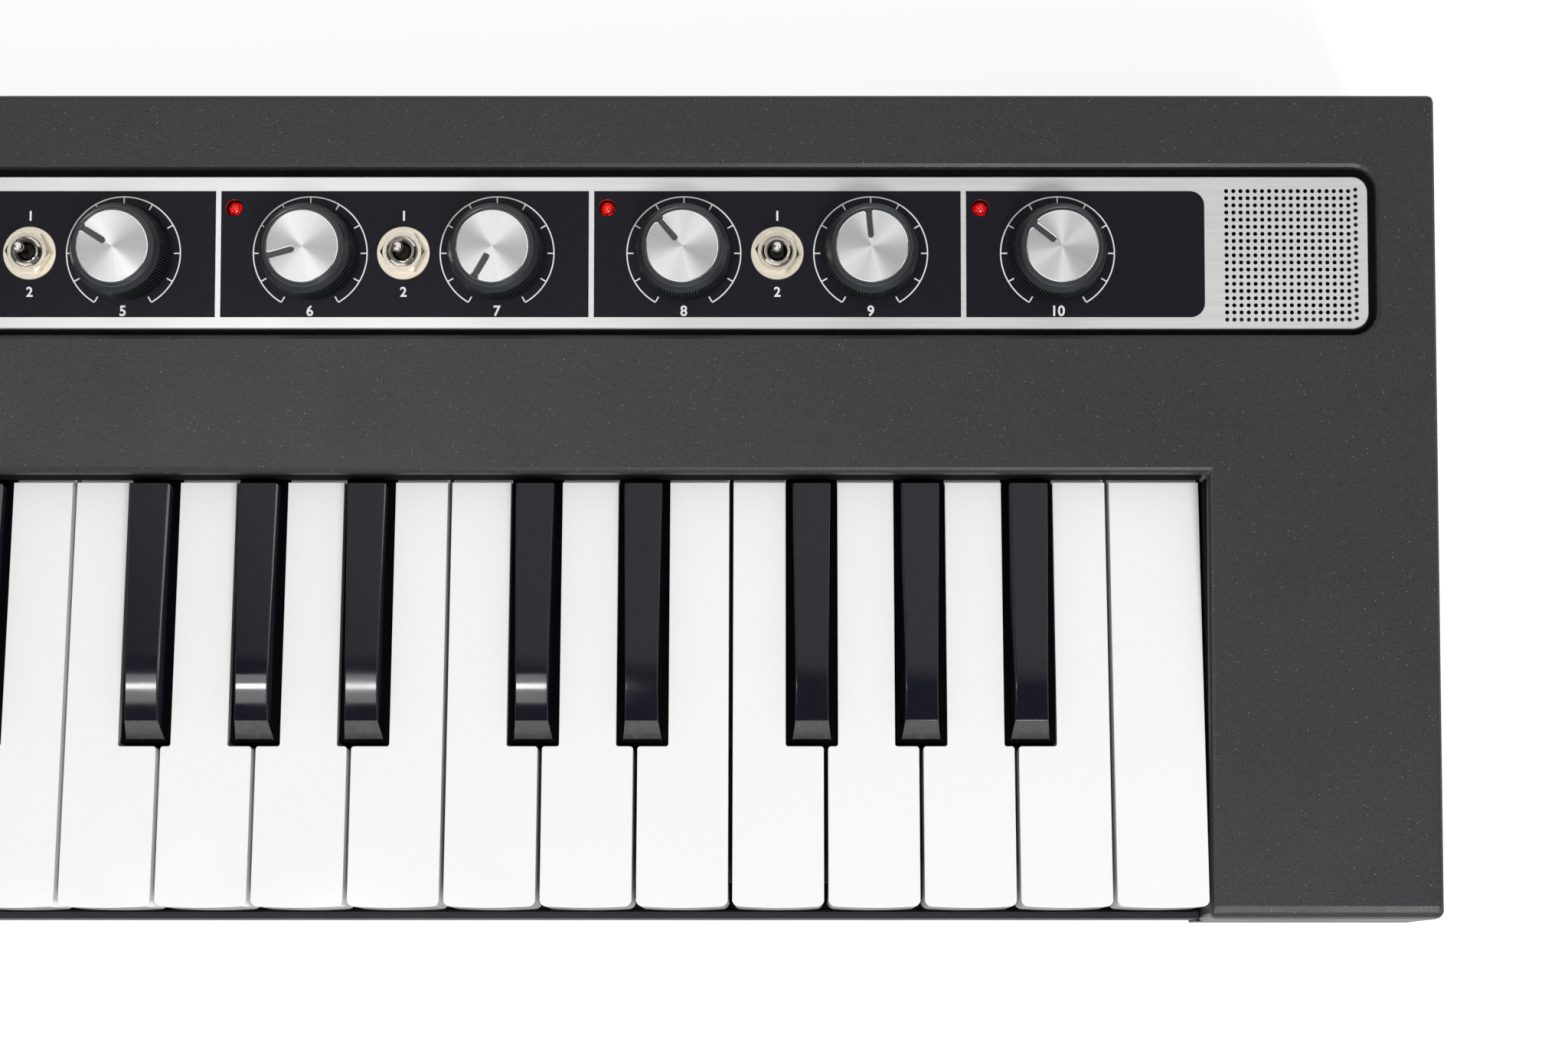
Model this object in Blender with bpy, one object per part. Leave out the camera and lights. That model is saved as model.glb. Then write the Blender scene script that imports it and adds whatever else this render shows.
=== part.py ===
"""Compact electric piano: 37 small keys, a sloping case and a row of effect controls.

The piano stands on its feet with its origin under the middle. +X is to the player's right,
+Y is to the rear and +Z is up. Lengths are metres.
"""

from math import atan2, cos, hypot, pi, radians, sin, tan

import bmesh
import bpy
from mathutils import Matrix, Vector

# Clearances
TOUCH_GAP = 0.0003           # between two pieces that rest on each other
RUN_GAP = 0.0004             # around a piece that turns or slides in another

# Case
CASE_LENGTH = 0.530
CASE_DEPTH = 0.1697          # front edge to rear wall
FRONT_HEIGHT = 0.0332        # top surface at its front edge
TOP_SLOPE = radians(7.0)     # the top rises to the rear
CASE_WALL = 0.0024
SEAM_HEIGHT = 0.014          # where the lower and the upper case meet
FRONT_ROUND = 0.0026         # fillet of the end blocks' front edges
EDGE_ROUND = 0.0012          # fillet of the other top edges
CORNER_ROUND = 0.0015        # fillet of the upright corners
FOOT_HEIGHT = 0.0035
FOOT_RADIUS = 0.006
FOOT_INSET = 0.020
BOSS_RADIUS = 0.0035         # posts that take the case screws
BOSS_INSET = 0.010
STRIP_SETBACK = 0.0005       # front strip behind the end blocks' front
STRIP_WALL = 0.0014
STRIP_HEIGHT = 0.0178        # top of the strip in front of the keys

END_BLOCK = 0.0480           # case beside the keys
FRONT_DECK = 0.0459          # case between the keys and the knob row
REAR_DECK = 0.0331           # case behind the knob row

# Keys
OCTAVES = 3
KEY_GAP = 0.0009
KEY_FRONT = 0.0022           # key fronts behind the case's front edge
KEY_PROUD = 0.0025           # white tops above the end blocks at the front
KEY_HEAD = 0.03304           # full-width part of a white key
KEY_SIDE = 0.0122            # height of a key's side walls
KEY_LIP = 0.0167             # height of a white key's front face
KEY_TOP_WALL = 0.0018
KEY_SIDE_WALL = 0.0014
KEY_CORNER = 0.0011
KEY_EDGE = 0.0004            # small fillet along a white key's top edges
CUT_WIDTH = 0.0108           # gap in the white keys for a black key
SHARP_OUTER_SHIFT = 0.0029   # outer black key of a group of three, off the gap
SHARP_PAIR_SHIFT = 0.00145   # black key of a group of two, off the gap
SHARP_RISE = 0.0052          # black tops above the white tops
SHARP_BASE_WIDTH = 0.0080
SHARP_FRONT_WIDTH = 0.0064   # top of a black key at its front
SHARP_REAR_WIDTH = 0.0076    # top of a black key at its rear
SHARP_NOSE = 0.0046          # run of the sloping front face
SHARP_EDGE = 0.0005
SHARP_SKIRT_DROP = 0.0012    # the wide skirt starts this far below the white tops
TAIL_DROP = 0.0032           # key tails below the white tops
TAIL_HEIGHT = 0.0060
PIVOT_DROP = 0.0062          # key pivot below the white tops
EYE_RADIUS = 0.0038
KEY_TRAVEL = radians(3.6)
SLOT_REAR_GAP = 0.00035
SLOT_SIDE_GAP = 0.0002       # beside the outer key gaps
SLOT_LINTEL = 0.0015         # rear wall of the key slot ends above the white tops
SWITCH_AHEAD = 0.0245        # rubber domes in front of the visible keys' rear end
ACTUATOR_DEPTH = 0.012

# Key chassis
CHASSIS_CLEAR = 0.0034       # chassis above the floor of the lower case
CHASSIS_PLATE = 0.0020
CHASSIS_WALL = 0.0020
CHASSIS_END = 0.0034         # chassis ends inside the key slot's sides
CHASSIS_REAR_CLEAR = 0.0012  # chassis in front of the battery compartment
RAIL_RADIUS = 0.0020
RAIL_WEB = 0.0020
FELT_DEPTH = 0.004
WHITE_FELT_BACK = 0.0065     # stop felt behind the key fronts
SHARP_FELT_BACK = 0.0345
GUIDE_DEPTH = 0.002
WHITE_GUIDE_BACK = 0.0153    # guides behind the key fronts
WHITE_GUIDE_WIDTH = 0.012
SHARP_GUIDE_BACK = 0.0400
SHARP_GUIDE_WIDTH = 0.004
CONTACT_DEPTH = 0.016
CONTACT_BOARD = 0.0016
DOME_RADIUS = 0.0034
DOME_TOP_RADIUS = 0.0024

# Control panel, measured in the panel frame: x, v up the slope, w out of the surface
PLATE_SIDE = 0.014           # case beside the plate
PLATE_FRONT = 0.01576
PLATE_REAR = 0.01609
PLATE_CORNER = 0.0035
PLATE_THICKNESS = 0.0012
PLATE_SUNK = 0.0008
RECESS_SIDE = 0.0015         # groove between plate and case
RECESS_FRONT = 0.0013
RECESS_REAR = 0.0018
RECESS_CORNER = 0.0048
RECESS_ROUND = 0.0009
SHELF_THICKNESS = 0.0020     # ledge that carries the plate
SHELF_MARGIN = 0.0032        # thick part of the case top around the recess
WINDOW_LEDGE = 0.0026        # ledge under the plate's edge

# Controls
KNOB_COUNT = 10
FIRST_KNOB_INSET = 0.08715   # first knob from the plate's left end
LAST_KNOB_INSET = 0.06475    # last knob from the plate's right end
KNOB_RADIUS = 0.0099
KNOB_SHOULDER_RADIUS = 0.0083
KNOB_CAP_RADIUS = 0.0074
KNOB_HEIGHT = 0.0095
KNOB_LIFT = 0.0005
POINTER_WIDTH = 0.0011
POINTER_DEPTH = 0.0004
POINTER_START = 0.0018
KNOB_LIMIT = 150.0           # degrees either side of straight up
SHAFT_RADIUS = 0.0030
SHAFT_LENGTH = 0.0080        # below the plate's upper face
TOGGLE_AFTER = (3, 5, 7)     # a toggle stands between these knobs and the next ones
TOGGLE_LEVER = 0.0090        # lever above its pivot
TOGGLE_TIP_RADIUS = 0.0011
TOGGLE_NECK_RADIUS = 0.0009
TOGGLE_BALL_RADIUS = 0.0018
TOGGLE_PIVOT_RISE = 0.0010   # pivot above the plate
BUSH_RADIUS = 0.0030
BUSH_BORE = 0.0022
BUSH_RISE = 0.0036
NUT_FLATS = 0.0080
NUT_HEIGHT = 0.0021
WASHER_RADIUS = 0.00555
WASHER_THICKNESS = 0.0005
LED_BEFORE = (3, 5, 7, 9)    # a lamp stands to the left of these knobs
LED_RADIUS = 0.0015
LED_ROW = 0.0096             # lamp row behind the knob row
LED_LEFT = 0.0160
SLIDER_INSET = 0.055         # slide switch from the plate's left end
SLIDER_TRAVEL = 0.008        # to each side
SLIDER_CAP = (0.0060, 0.0046, 0.0042)
SLIDER_STEM = (0.0028, 0.0014)

# Boards behind the panel
BOARD_THICKNESS = 0.0016
BOARD_DROP = 0.0102          # control board's upper face below the plate's upper face
BOARD_INSET = 0.043          # control board ends inside the plate's ends
BOARD_HALF_DEPTH = 0.0190
POT_RADIUS = 0.0062
POT_BUSH_RADIUS = 0.0042
POST_RADIUS = 0.0022
SPEAKER_INSET = 0.0161       # speaker centre from the plate's end
SPEAKER_RADIUS = 0.0185
SPEAKER_DEPTH = 0.0150
MAGNET_RADIUS = 0.0105

# Rear sockets, from the right end to the left
SOCKETS = ("power", "direct_current", "data", "control_link", "pedal", "aux",
           "line_left", "line_right", "phones")
SOCKET_INSET = 0.060         # first socket from the case's right end
SOCKET_PITCH = 0.029
JACK_NAMES = ("pedal", "line_left", "line_right", "phones")
JACK_BORE = 0.0033
JACK_BUSH_RADIUS = 0.0048
JACK_NUT_RADIUS = 0.0066
JACK_NUT_HEIGHT = 0.0026
SMALL_JACK_BORE = 0.00185
SMALL_BUSH_RADIUS = 0.0034
DC_RADIUS = 0.0046
DC_BORE = 0.0028
DC_PIN = 0.0010
DATA_WIDTH = 0.0120
DATA_HEIGHT = 0.0108
DATA_WALL = 0.0014
LINK_RADIUS = 0.0060
LINK_BORE = 0.0044
SOCKET_REACH = 0.0053        # socket bushings stand out this far behind the case
FLUSH_REACH = 0.0004         # the flat sockets stand out this far
JACK_BODY = (0.013, 0.019, 0.012)
BUTTON_RADIUS = 0.0035
BUTTON_REACH = 0.0032
BUTTON_TRAVEL = 0.0020
JACK_BOARD_MARGIN = 0.012
JACK_BOARD_LEDGE = 0.0022    # battery compartment's front wall in front of the socket board
BATTERY_LENGTH = 0.158
BATTERY_DEPTH = 0.0322
BATTERY_HEIGHT = 0.0161
BATTERY_WALL = 0.0014

# Worked out from the sizes above
FRONT_Y = -(CASE_DEPTH + SOCKET_REACH) / 2
REAR_Y = FRONT_Y + CASE_DEPTH
HALF_LENGTH = CASE_LENGTH / 2
SLOT_HALF = HALF_LENGTH - END_BLOCK
WHITE_COUNT = 7 * OCTAVES + 1
KEY_PITCH = 2 * (SLOT_HALF - SLOT_SIDE_GAP) / WHITE_COUNT
KNOB_ROW_Y = REAR_Y - REAR_DECK
WHITE_STEPS = ("c", "d", "e", "f", "g", "a", "b")
SHARPS = {
    "c": ("c_sharp", -SHARP_PAIR_SHIFT),
    "d": ("d_sharp", SHARP_PAIR_SHIFT),
    "f": ("f_sharp", -SHARP_OUTER_SHIFT),
    "g": ("g_sharp", 0.0),
    "a": ("a_sharp", SHARP_OUTER_SHIFT),
}
KEY_TOP = FRONT_HEIGHT + KEY_PROUD
KEY_FRONT_Y = FRONT_Y + KEY_FRONT
KEY_REAR_Y = KNOB_ROW_Y - FRONT_DECK
CUT_Y = KEY_FRONT_Y + KEY_HEAD
SIDE_BOTTOM = KEY_TOP - KEY_SIDE
SLOT_REAR_Y = KEY_REAR_Y + SLOT_REAR_GAP
INNER_REAR_Y = REAR_Y - CASE_WALL
BATTERY_REAR_Y = INNER_REAR_Y - TOUCH_GAP
BATTERY_FRONT_Y = BATTERY_REAR_Y - BATTERY_DEPTH
CHASSIS_WALL_Y = BATTERY_FRONT_Y - CHASSIS_REAR_CLEAR - CHASSIS_WALL
PIVOT_Y = CHASSIS_WALL_Y - TOUCH_GAP - EYE_RADIUS
PIVOT_Z = KEY_TOP - PIVOT_DROP
TAIL_END_Y = PIVOT_Y + EYE_RADIUS - RUN_GAP
FLOOR_TOP = FOOT_HEIGHT + CASE_WALL
CHASSIS_BOTTOM = FLOOR_TOP + CHASSIS_CLEAR
CHASSIS_TOP = CHASSIS_BOTTOM + CHASSIS_PLATE
CHASSIS_HALF = SLOT_HALF - CHASSIS_END
ACTUATOR_Y = KEY_REAR_Y - SWITCH_AHEAD
SKIRT_WIDTH = CUT_WIDTH - 2 * RUN_GAP
PLATE_HALF = HALF_LENGTH - PLATE_SIDE
PLATE_TOP_W = -PLATE_SUNK
PLATE_BOTTOM_W = PLATE_TOP_W - PLATE_THICKNESS
RECESS_FLOOR_W = PLATE_BOTTOM_W - TOUCH_GAP
SHELF_BOTTOM_W = RECESS_FLOOR_W - SHELF_THICKNESS
BOARD_TOP_W = PLATE_TOP_W - BOARD_DROP
BOARD_BOTTOM_W = BOARD_TOP_W - BOARD_THICKNESS
BOARD_HALF_LENGTH = PLATE_HALF - BOARD_INSET
CONTROL_PITCH = (2 * PLATE_HALF - FIRST_KNOB_INSET - LAST_KNOB_INSET) / (KNOB_COUNT - 1)
KNOB_XS = [FIRST_KNOB_INSET - PLATE_HALF + CONTROL_PITCH * i for i in range(KNOB_COUNT)]
KNOB_NAMES = (
    "volume", "voice", "drive", "first_depth", "first_rate",
    "second_depth", "second_speed", "delay_depth", "delay_time", "reverb_depth",
)
KNOB_ANGLES = (0.0, -90.0, -60.0, -95.0, -58.0, -106.0, -150.0, -41.0, -6.0, -52.0)
TOGGLE_XS = [(KNOB_XS[i] + KNOB_XS[i + 1]) / 2 for i in TOGGLE_AFTER]
LED_XS = [KNOB_XS[i] - LED_LEFT for i in LED_BEFORE]
SLIDER_X = SLIDER_INSET - PLATE_HALF
SPEAKER_XS = {"speaker_left": SPEAKER_INSET - PLATE_HALF, "speaker_right": PLATE_HALF - SPEAKER_INSET}
BATTERY_TOP = FLOOR_TOP + BATTERY_HEIGHT
JACK_BOARD_BOTTOM = BATTERY_TOP + TOUCH_GAP
JACK_BOARD_TOP = JACK_BOARD_BOTTOM + BOARD_THICKNESS
SOCKET_Z = JACK_BOARD_TOP + JACK_BODY[2] / 2
JACK_BOARD_FRONT_Y = BATTERY_FRONT_Y + JACK_BOARD_LEDGE
SOCKET_X = {name: HALF_LENGTH - SOCKET_INSET - SOCKET_PITCH * i for i, name in enumerate(SOCKETS)}


def top_height(y):
    """Height of the sloping top surface."""
    return FRONT_HEIGHT + (y - FRONT_Y) * tan(TOP_SLOPE)


def panel_frame():
    """Frame of the controls: origin on the knob row in the top surface, w out of the surface."""
    origin = Vector((0.0, KNOB_ROW_Y, top_height(KNOB_ROW_Y)))
    return Matrix.Translation(origin) @ Matrix.Rotation(TOP_SLOPE, 4, "X")


# Materials
def make_material(name, colour, roughness, metallic=0.0):
    """Principled material with one colour."""
    material = bpy.data.materials.new(name)
    material.use_nodes = True
    shader = material.node_tree.nodes["Principled BSDF"]
    shader.inputs["Base Color"].default_value = (*colour, 1.0)
    shader.inputs["Roughness"].default_value = roughness
    shader.inputs["Metallic"].default_value = metallic
    return material


# Mesh building
def circle(x, y, radius, count, turn=0.0):
    """Counter-clockwise points on a circle."""
    return [(x + radius * cos(turn + 2 * pi * i / count), y + radius * sin(turn + 2 * pi * i / count))
            for i in range(count)]


def rectangle(x0, x1, y0, y1):
    """Counter-clockwise corners of a rectangle."""
    return [(x0, y0), (x1, y0), (x1, y1), (x0, y1)]


def rounded(points, radii, steps):
    """Outline with its corners turned into arcs, where the radius is not zero."""
    outline = []
    for i, (px, py) in enumerate(points):
        radius = radii[i] if isinstance(radii, (list, tuple)) else radii
        if radius == 0:
            outline.append((px, py))
            continue
        ax, ay = points[i - 1]
        bx, by = points[(i + 1) % len(points)]
        back = Vector((ax - px, ay - py)).normalized()
        ahead = Vector((bx - px, by - py)).normalized()
        half = back.angle(ahead) / 2
        reach = radius / tan(half)
        centre = Vector((px, py)) + (back + ahead).normalized() * (radius / sin(half))
        first = Vector((px, py)) + back * reach - centre
        last = Vector((px, py)) + ahead * reach - centre
        start = atan2(first.y, first.x)
        sweep = (atan2(last.y, last.x) - start + pi) % (2 * pi) - pi
        for k in range(steps + 1):
            angle = start + sweep * k / steps
            outline.append((centre.x + radius * cos(angle), centre.y + radius * sin(angle)))
    return outline


def loft(rings):
    """Closed body through rings of points that all run the same way round."""
    bm = bmesh.new()
    layers = [[bm.verts.new(point) for point in ring] for ring in rings]
    bm.faces.new(list(reversed(layers[0])))
    bm.faces.new(layers[-1])
    count = len(layers[0])
    for lower, upper in zip(layers, layers[1:]):
        for i in range(count):
            j = (i + 1) % count
            bm.faces.new((lower[i], lower[j], upper[j], upper[i]))
    return bm


def prism(outline, low, high):
    """Body over a plan outline, between two heights given as numbers or functions of x and y."""
    rings = []
    for height in (low, high):
        if callable(height):
            rings.append([(x, y, height(x, y)) for x, y in outline])
        else:
            rings.append([(x, y, height) for x, y in outline])
    return loft(rings)


def box(x0, x1, y0, y1, z0, z1):
    """Rectangular body."""
    return prism(rectangle(x0, x1, y0, y1), z0, z1)


def side_prism(profile, x0, x1):
    """Body with a side profile of (y, z) points, seen from +X, between two x values."""
    bm = prism(profile, x0, x1)
    bm.transform(Matrix(((0, 0, 1, 0), (1, 0, 0, 0), (0, 1, 0, 0), (0, 0, 0, 1))))
    return bm


def turned(profile, count):
    """Body turned round Z from (radius, height) points that start and end on the axis."""
    bm = bmesh.new()
    rings = []
    for radius, height in profile:
        if radius == 0:
            rings.append([bm.verts.new((0, 0, height))])
        else:
            rings.append([bm.verts.new((x, y, height)) for x, y in circle(0, 0, radius, count)])
    for lower, upper in zip(rings, rings[1:]):
        for i in range(count):
            j = (i + 1) % count
            if len(lower) == 1:
                bm.faces.new((lower[0], upper[j], upper[i]))
            elif len(upper) == 1:
                bm.faces.new((lower[i], lower[j], upper[0]))
            else:
                bm.faces.new((lower[i], lower[j], upper[j], upper[i]))
    return bm


def moved(bm, x=0.0, y=0.0, z=0.0):
    """The same body, shifted."""
    bm.transform(Matrix.Translation((x, y, z)))
    return bm


def rod_along_y(x, z, y0, y1, radius, count, turn=0.0):
    """Round or polygonal rod along Y."""
    bm = prism(circle(0, 0, radius, count, turn), y0, y1)
    bm.transform(Matrix.Rotation(radians(-90), 4, "X"))
    return moved(bm, x, 0.0, z)


def together(bodies):
    """One mesh of several bodies that do not touch."""
    whole = bmesh.new()
    for body in bodies:
        mesh = bpy.data.meshes.new("piece")
        body.to_mesh(mesh)
        body.free()
        whole.from_mesh(mesh)
        bpy.data.meshes.remove(mesh)
    return whole


def new_object(name, bm, material=None):
    """Scene object that takes over a mesh under construction."""
    mesh = bpy.data.meshes.new(name)
    bmesh.ops.recalc_face_normals(bm, faces=bm.faces)
    bm.to_mesh(mesh)
    bm.free()
    if material:
        mesh.materials.append(material)
    obj = bpy.data.objects.new(name, mesh)
    bpy.context.collection.objects.link(obj)
    return obj


def keep_evaluated(obj):
    """Turns the modifiers of an object into mesh."""
    bpy.context.view_layer.update()
    evaluated = obj.evaluated_get(bpy.context.evaluated_depsgraph_get())
    mesh = bpy.data.meshes.new_from_object(evaluated)
    old = obj.data
    obj.modifiers.clear()
    obj.data = mesh
    name = old.name
    bpy.data.meshes.remove(old)
    mesh.name = name


def combine(obj, bm, operation):
    """Joins a body to an object, cuts it away or keeps what they share."""
    tool = new_object("shape_tool", bm)
    modifier = obj.modifiers.new("combine", "BOOLEAN")
    modifier.operation = operation
    modifier.solver = "EXACT"
    modifier.object = tool
    keep_evaluated(obj)
    mesh = tool.data
    bpy.data.objects.remove(tool)
    bpy.data.meshes.remove(mesh)


def add(obj, bm):
    """Joins a body to an object."""
    combine(obj, bm, "UNION")


def cut(obj, bm):
    """Cuts a body out of an object."""
    combine(obj, bm, "DIFFERENCE")


def round_edges(obj, width_of, segments):
    """Rounds each edge by the width that a function of its two ends gives."""
    mesh = obj.data
    widths = []
    for edge in mesh.edges:
        first, second = (mesh.vertices[i].co for i in edge.vertices)
        widths.append(width_of(first, second))
    widest = max(widths)
    weights = mesh.attributes.new("bevel_weight_edge", "FLOAT", "EDGE")
    for item, width in zip(weights.data, widths):
        item.value = width / widest
    modifier = obj.modifiers.new("round", "BEVEL")
    modifier.limit_method = "WEIGHT"
    modifier.width = widest
    modifier.segments = segments
    keep_evaluated(obj)


def set_origin(obj, point):
    """Moves an object's origin without moving its shape."""
    point = Vector(point)
    obj.data.transform(Matrix.Translation(-point))
    obj.location = point


def smooth(obj, angle=35.0):
    """Smooth shading that keeps the edges sharper than an angle."""
    obj.data.shade_smooth()
    obj.data.set_sharp_from_angle(angle=radians(angle))


def near(a, b):
    """Two lengths are the same."""
    return abs(a - b) < 1e-6


# Case
def case_outline(inset=0.0):
    """Plan of the case with the key slot open at the front, moved inwards by a wall."""
    side = HALF_LENGTH - inset
    slot = SLOT_HALF + inset
    front = FRONT_Y + inset
    rear = REAR_Y - inset
    wall = SLOT_REAR_Y + inset
    return [(-side, front), (-slot, front), (-slot, wall), (slot, wall),
            (slot, front), (side, front), (side, rear), (-side, rear)]


def panel_outline(margin_side, margin_front, margin_rear, corner, steps=5):
    """Rounded outline round the control plate, larger than it by three margins."""
    corners = rectangle(-PLATE_HALF - margin_side, PLATE_HALF + margin_side,
                        -PLATE_FRONT - margin_front, PLATE_REAR + margin_rear)
    return rounded(corners, corner, steps)


def recess_cutter():
    """Pocket for the control plate, with a rounded upper edge."""
    rings = []
    for w, grow in ((RECESS_FLOOR_W, 0.0), (-RECESS_ROUND, 0.0), (-RECESS_ROUND * 0.4, RECESS_ROUND * 0.2),
                    (0.0, RECESS_ROUND), (PLATE_SUNK, RECESS_ROUND)):
        outline = panel_outline(RECESS_SIDE + grow, RECESS_FRONT + grow, RECESS_REAR + grow,
                                RECESS_CORNER + grow)
        rings.append([(x, v, w) for x, v in outline])
    return in_panel(loft(rings))


def in_panel(bm):
    """Body given in the panel frame, put in its place."""
    bm.transform(panel_frame())
    return bm


def board_posts():
    """Places of the posts between the case top and the control board, in the panel frame."""
    row_front = -(BOARD_HALF_DEPTH - POST_RADIUS)
    row_rear = BOARD_HALF_DEPTH - POST_RADIUS
    step = 2 * (BOARD_HALF_LENGTH - 2 * POST_RADIUS) / 3
    start = -BOARD_HALF_LENGTH + 2 * POST_RADIUS
    return [(start + step * i, row) for i in range(4) for row in (row_front, row_rear)]


def case_bosses():
    """Places of the posts that join the two halves of the case."""
    side = HALF_LENGTH - CASE_WALL - BOSS_INSET
    front = FRONT_Y + CASE_WALL + BOSS_INSET
    rear = REAR_Y - CASE_WALL - BOSS_INSET / 2
    return [(x, y) for x in (-side, side) for y in (front, rear)]


def top_case(material):
    """Upper shell: end blocks, sloping deck, rear wall and the recess for the control plate."""
    bottom = SEAM_HEIGHT + TOUCH_GAP
    obj = new_object("top_case", prism(case_outline(), bottom, lambda x, y: top_height(y)), material)

    def width_of(a, b):
        upright = near(a.x, b.x) and near(a.y, b.y)
        if upright:
            outer = near(abs(a.x), HALF_LENGTH)
            return CORNER_ROUND if outer else EDGE_ROUND
        if a.z < bottom + 1e-6 and b.z < bottom + 1e-6:
            return 0.0
        at_front = near(a.y, FRONT_Y) and near(b.y, FRONT_Y)
        return FRONT_ROUND if at_front else EDGE_ROUND

    round_edges(obj, width_of, 3)
    cavity = new_object("cavity", prism(case_outline(CASE_WALL), 0.0,
                                        lambda x, y: top_height(y) - CASE_WALL))
    shelf = panel_outline(RECESS_SIDE + SHELF_MARGIN, RECESS_FRONT + SHELF_MARGIN,
                          RECESS_REAR + SHELF_MARGIN, 0, 1)
    cut(cavity, in_panel(prism(shelf, SHELF_BOTTOM_W, CASE_WALL)))
    posts = [prism(circle(x, v, POST_RADIUS, 10), BOARD_TOP_W + TOUCH_GAP, SHELF_BOTTOM_W + CASE_WALL / 2)
             for x, v in board_posts()]
    cut(cavity, in_panel(together(posts)))
    bosses = [prism(circle(x, y, BOSS_RADIUS, 12), bottom, top_height(y)) for x, y in case_bosses()]
    cut(cavity, together(bosses))
    hollow = bmesh.new()
    hollow.from_mesh(cavity.data)
    bpy.data.objects.remove(cavity)
    cut(obj, hollow)
    cut(obj, recess_cutter())
    window = panel_outline(-WINDOW_LEDGE, -WINDOW_LEDGE, -WINDOW_LEDGE, PLATE_CORNER / 2, 2)
    cut(obj, in_panel(prism(window, SHELF_BOTTOM_W - CASE_WALL, RECESS_FLOOR_W + TOUCH_GAP)))
    cut(obj, box(-SLOT_HALF, SLOT_HALF, SLOT_REAR_Y - CASE_WALL, SLOT_REAR_Y + 2 * CASE_WALL,
                 0.0, KEY_TOP + SLOT_LINTEL))
    cut(obj, together(socket_holes()))
    smooth(obj)
    return obj


def socket_holes():
    """Holes of the rear wall, one for each socket and one for the power button."""
    y0 = INNER_REAR_Y - CASE_WALL
    y1 = REAR_Y + CASE_WALL
    radii = {"power": BUTTON_RADIUS, "direct_current": DC_RADIUS, "control_link": LINK_RADIUS,
             "aux": SMALL_BUSH_RADIUS}
    radii.update({name: JACK_BUSH_RADIUS for name in JACK_NAMES})
    holes = [rod_along_y(SOCKET_X[name], SOCKET_Z, y0, y1, radius + RUN_GAP, 20)
             for name, radius in radii.items()]
    half_w = DATA_WIDTH / 2 + TOUCH_GAP
    half_h = DATA_HEIGHT / 2 + TOUCH_GAP
    x = SOCKET_X["data"]
    holes.append(box(x - half_w, x + half_w, y0, y1, SOCKET_Z - half_h, SOCKET_Z + half_h))
    return holes


def bottom_case(material):
    """Lower shell with its feet, the strip in front of the keys and the battery compartment."""
    outline = rectangle(-HALF_LENGTH, HALF_LENGTH, FRONT_Y, REAR_Y)
    obj = new_object("bottom_case", prism(outline, FOOT_HEIGHT, SEAM_HEIGHT), material)

    def width_of(a, b):
        if near(a.x, b.x) and near(a.y, b.y):
            return CORNER_ROUND
        return EDGE_ROUND if near(a.z, FOOT_HEIGHT) and near(b.z, FOOT_HEIGHT) else 0.0

    round_edges(obj, width_of, 3)
    side = HALF_LENGTH - CASE_WALL
    cut(obj, box(-side, side, FRONT_Y + CASE_WALL, INNER_REAR_Y, FLOOR_TOP, SEAM_HEIGHT * 2))
    strip_half = SLOT_HALF - TOUCH_GAP
    strip_front = FRONT_Y + STRIP_SETBACK
    cut(obj, box(-strip_half, strip_half, FRONT_Y - CASE_WALL, strip_front, 0.0, SEAM_HEIGHT * 2))
    add(obj, box(-strip_half, strip_half, strip_front, strip_front + STRIP_WALL,
                 FLOOR_TOP - CASE_WALL / 3, STRIP_HEIGHT))
    compartment = new_object("compartment", box(
        -BATTERY_LENGTH / 2, BATTERY_LENGTH / 2, BATTERY_FRONT_Y, BATTERY_REAR_Y,
        FLOOR_TOP - CASE_WALL / 2, BATTERY_TOP))
    half = BATTERY_LENGTH / 2 - BATTERY_WALL
    cut(compartment, box(-half, half, BATTERY_FRONT_Y + BATTERY_WALL,
                         BATTERY_REAR_Y - BATTERY_WALL, FLOOR_TOP - CASE_WALL, BATTERY_TOP * 2))
    walls = bmesh.new()
    walls.from_mesh(compartment.data)
    bpy.data.objects.remove(compartment)
    add(obj, walls)
    into_floor = FLOOR_TOP - CASE_WALL / 2
    bosses = [prism(circle(x, y, BOSS_RADIUS, 12), into_floor, SEAM_HEIGHT) for x, y in case_bosses()]
    bosses += [prism(circle(x, y, BOSS_RADIUS, 12), into_floor, CHASSIS_BOTTOM - TOUCH_GAP)
               for x, y in chassis_bosses()]
    bosses += [prism(circle(x, y, BOSS_RADIUS, 12), into_floor, JACK_BOARD_BOTTOM - TOUCH_GAP)
               for x, y in jack_board_bosses()]
    add(obj, together(bosses))
    foot = [(0, 0.0), (FOOT_RADIUS * 0.85, 0.0), (FOOT_RADIUS, FOOT_HEIGHT * 0.3),
            (FOOT_RADIUS, FOOT_HEIGHT + CASE_WALL / 2), (0, FOOT_HEIGHT + CASE_WALL / 2)]
    add(obj, together([moved(turned(foot, 24), x, y) for x, y in foot_places()]))
    smooth(obj)
    return obj


def foot_places():
    """Places of the four feet."""
    side = HALF_LENGTH - FOOT_INSET
    return [(x, y) for x in (-side, side) for y in (FRONT_Y + FOOT_INSET, REAR_Y - FOOT_INSET)]


def chassis_bosses():
    """Places of the posts under the key chassis."""
    side = CHASSIS_HALF - 3 * BOSS_RADIUS
    front = KEY_FRONT_Y + WHITE_FELT_BACK + 2 * BOSS_RADIUS
    rear = CHASSIS_WALL_Y - 2 * BOSS_RADIUS
    return [(x, y) for x in (-side, 0.0, side) for y in (front, rear)]


def jack_board_span():
    """Ends of the socket board along x."""
    return min(SOCKET_X.values()) - JACK_BOARD_MARGIN, max(SOCKET_X.values()) + JACK_BOARD_MARGIN


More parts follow.
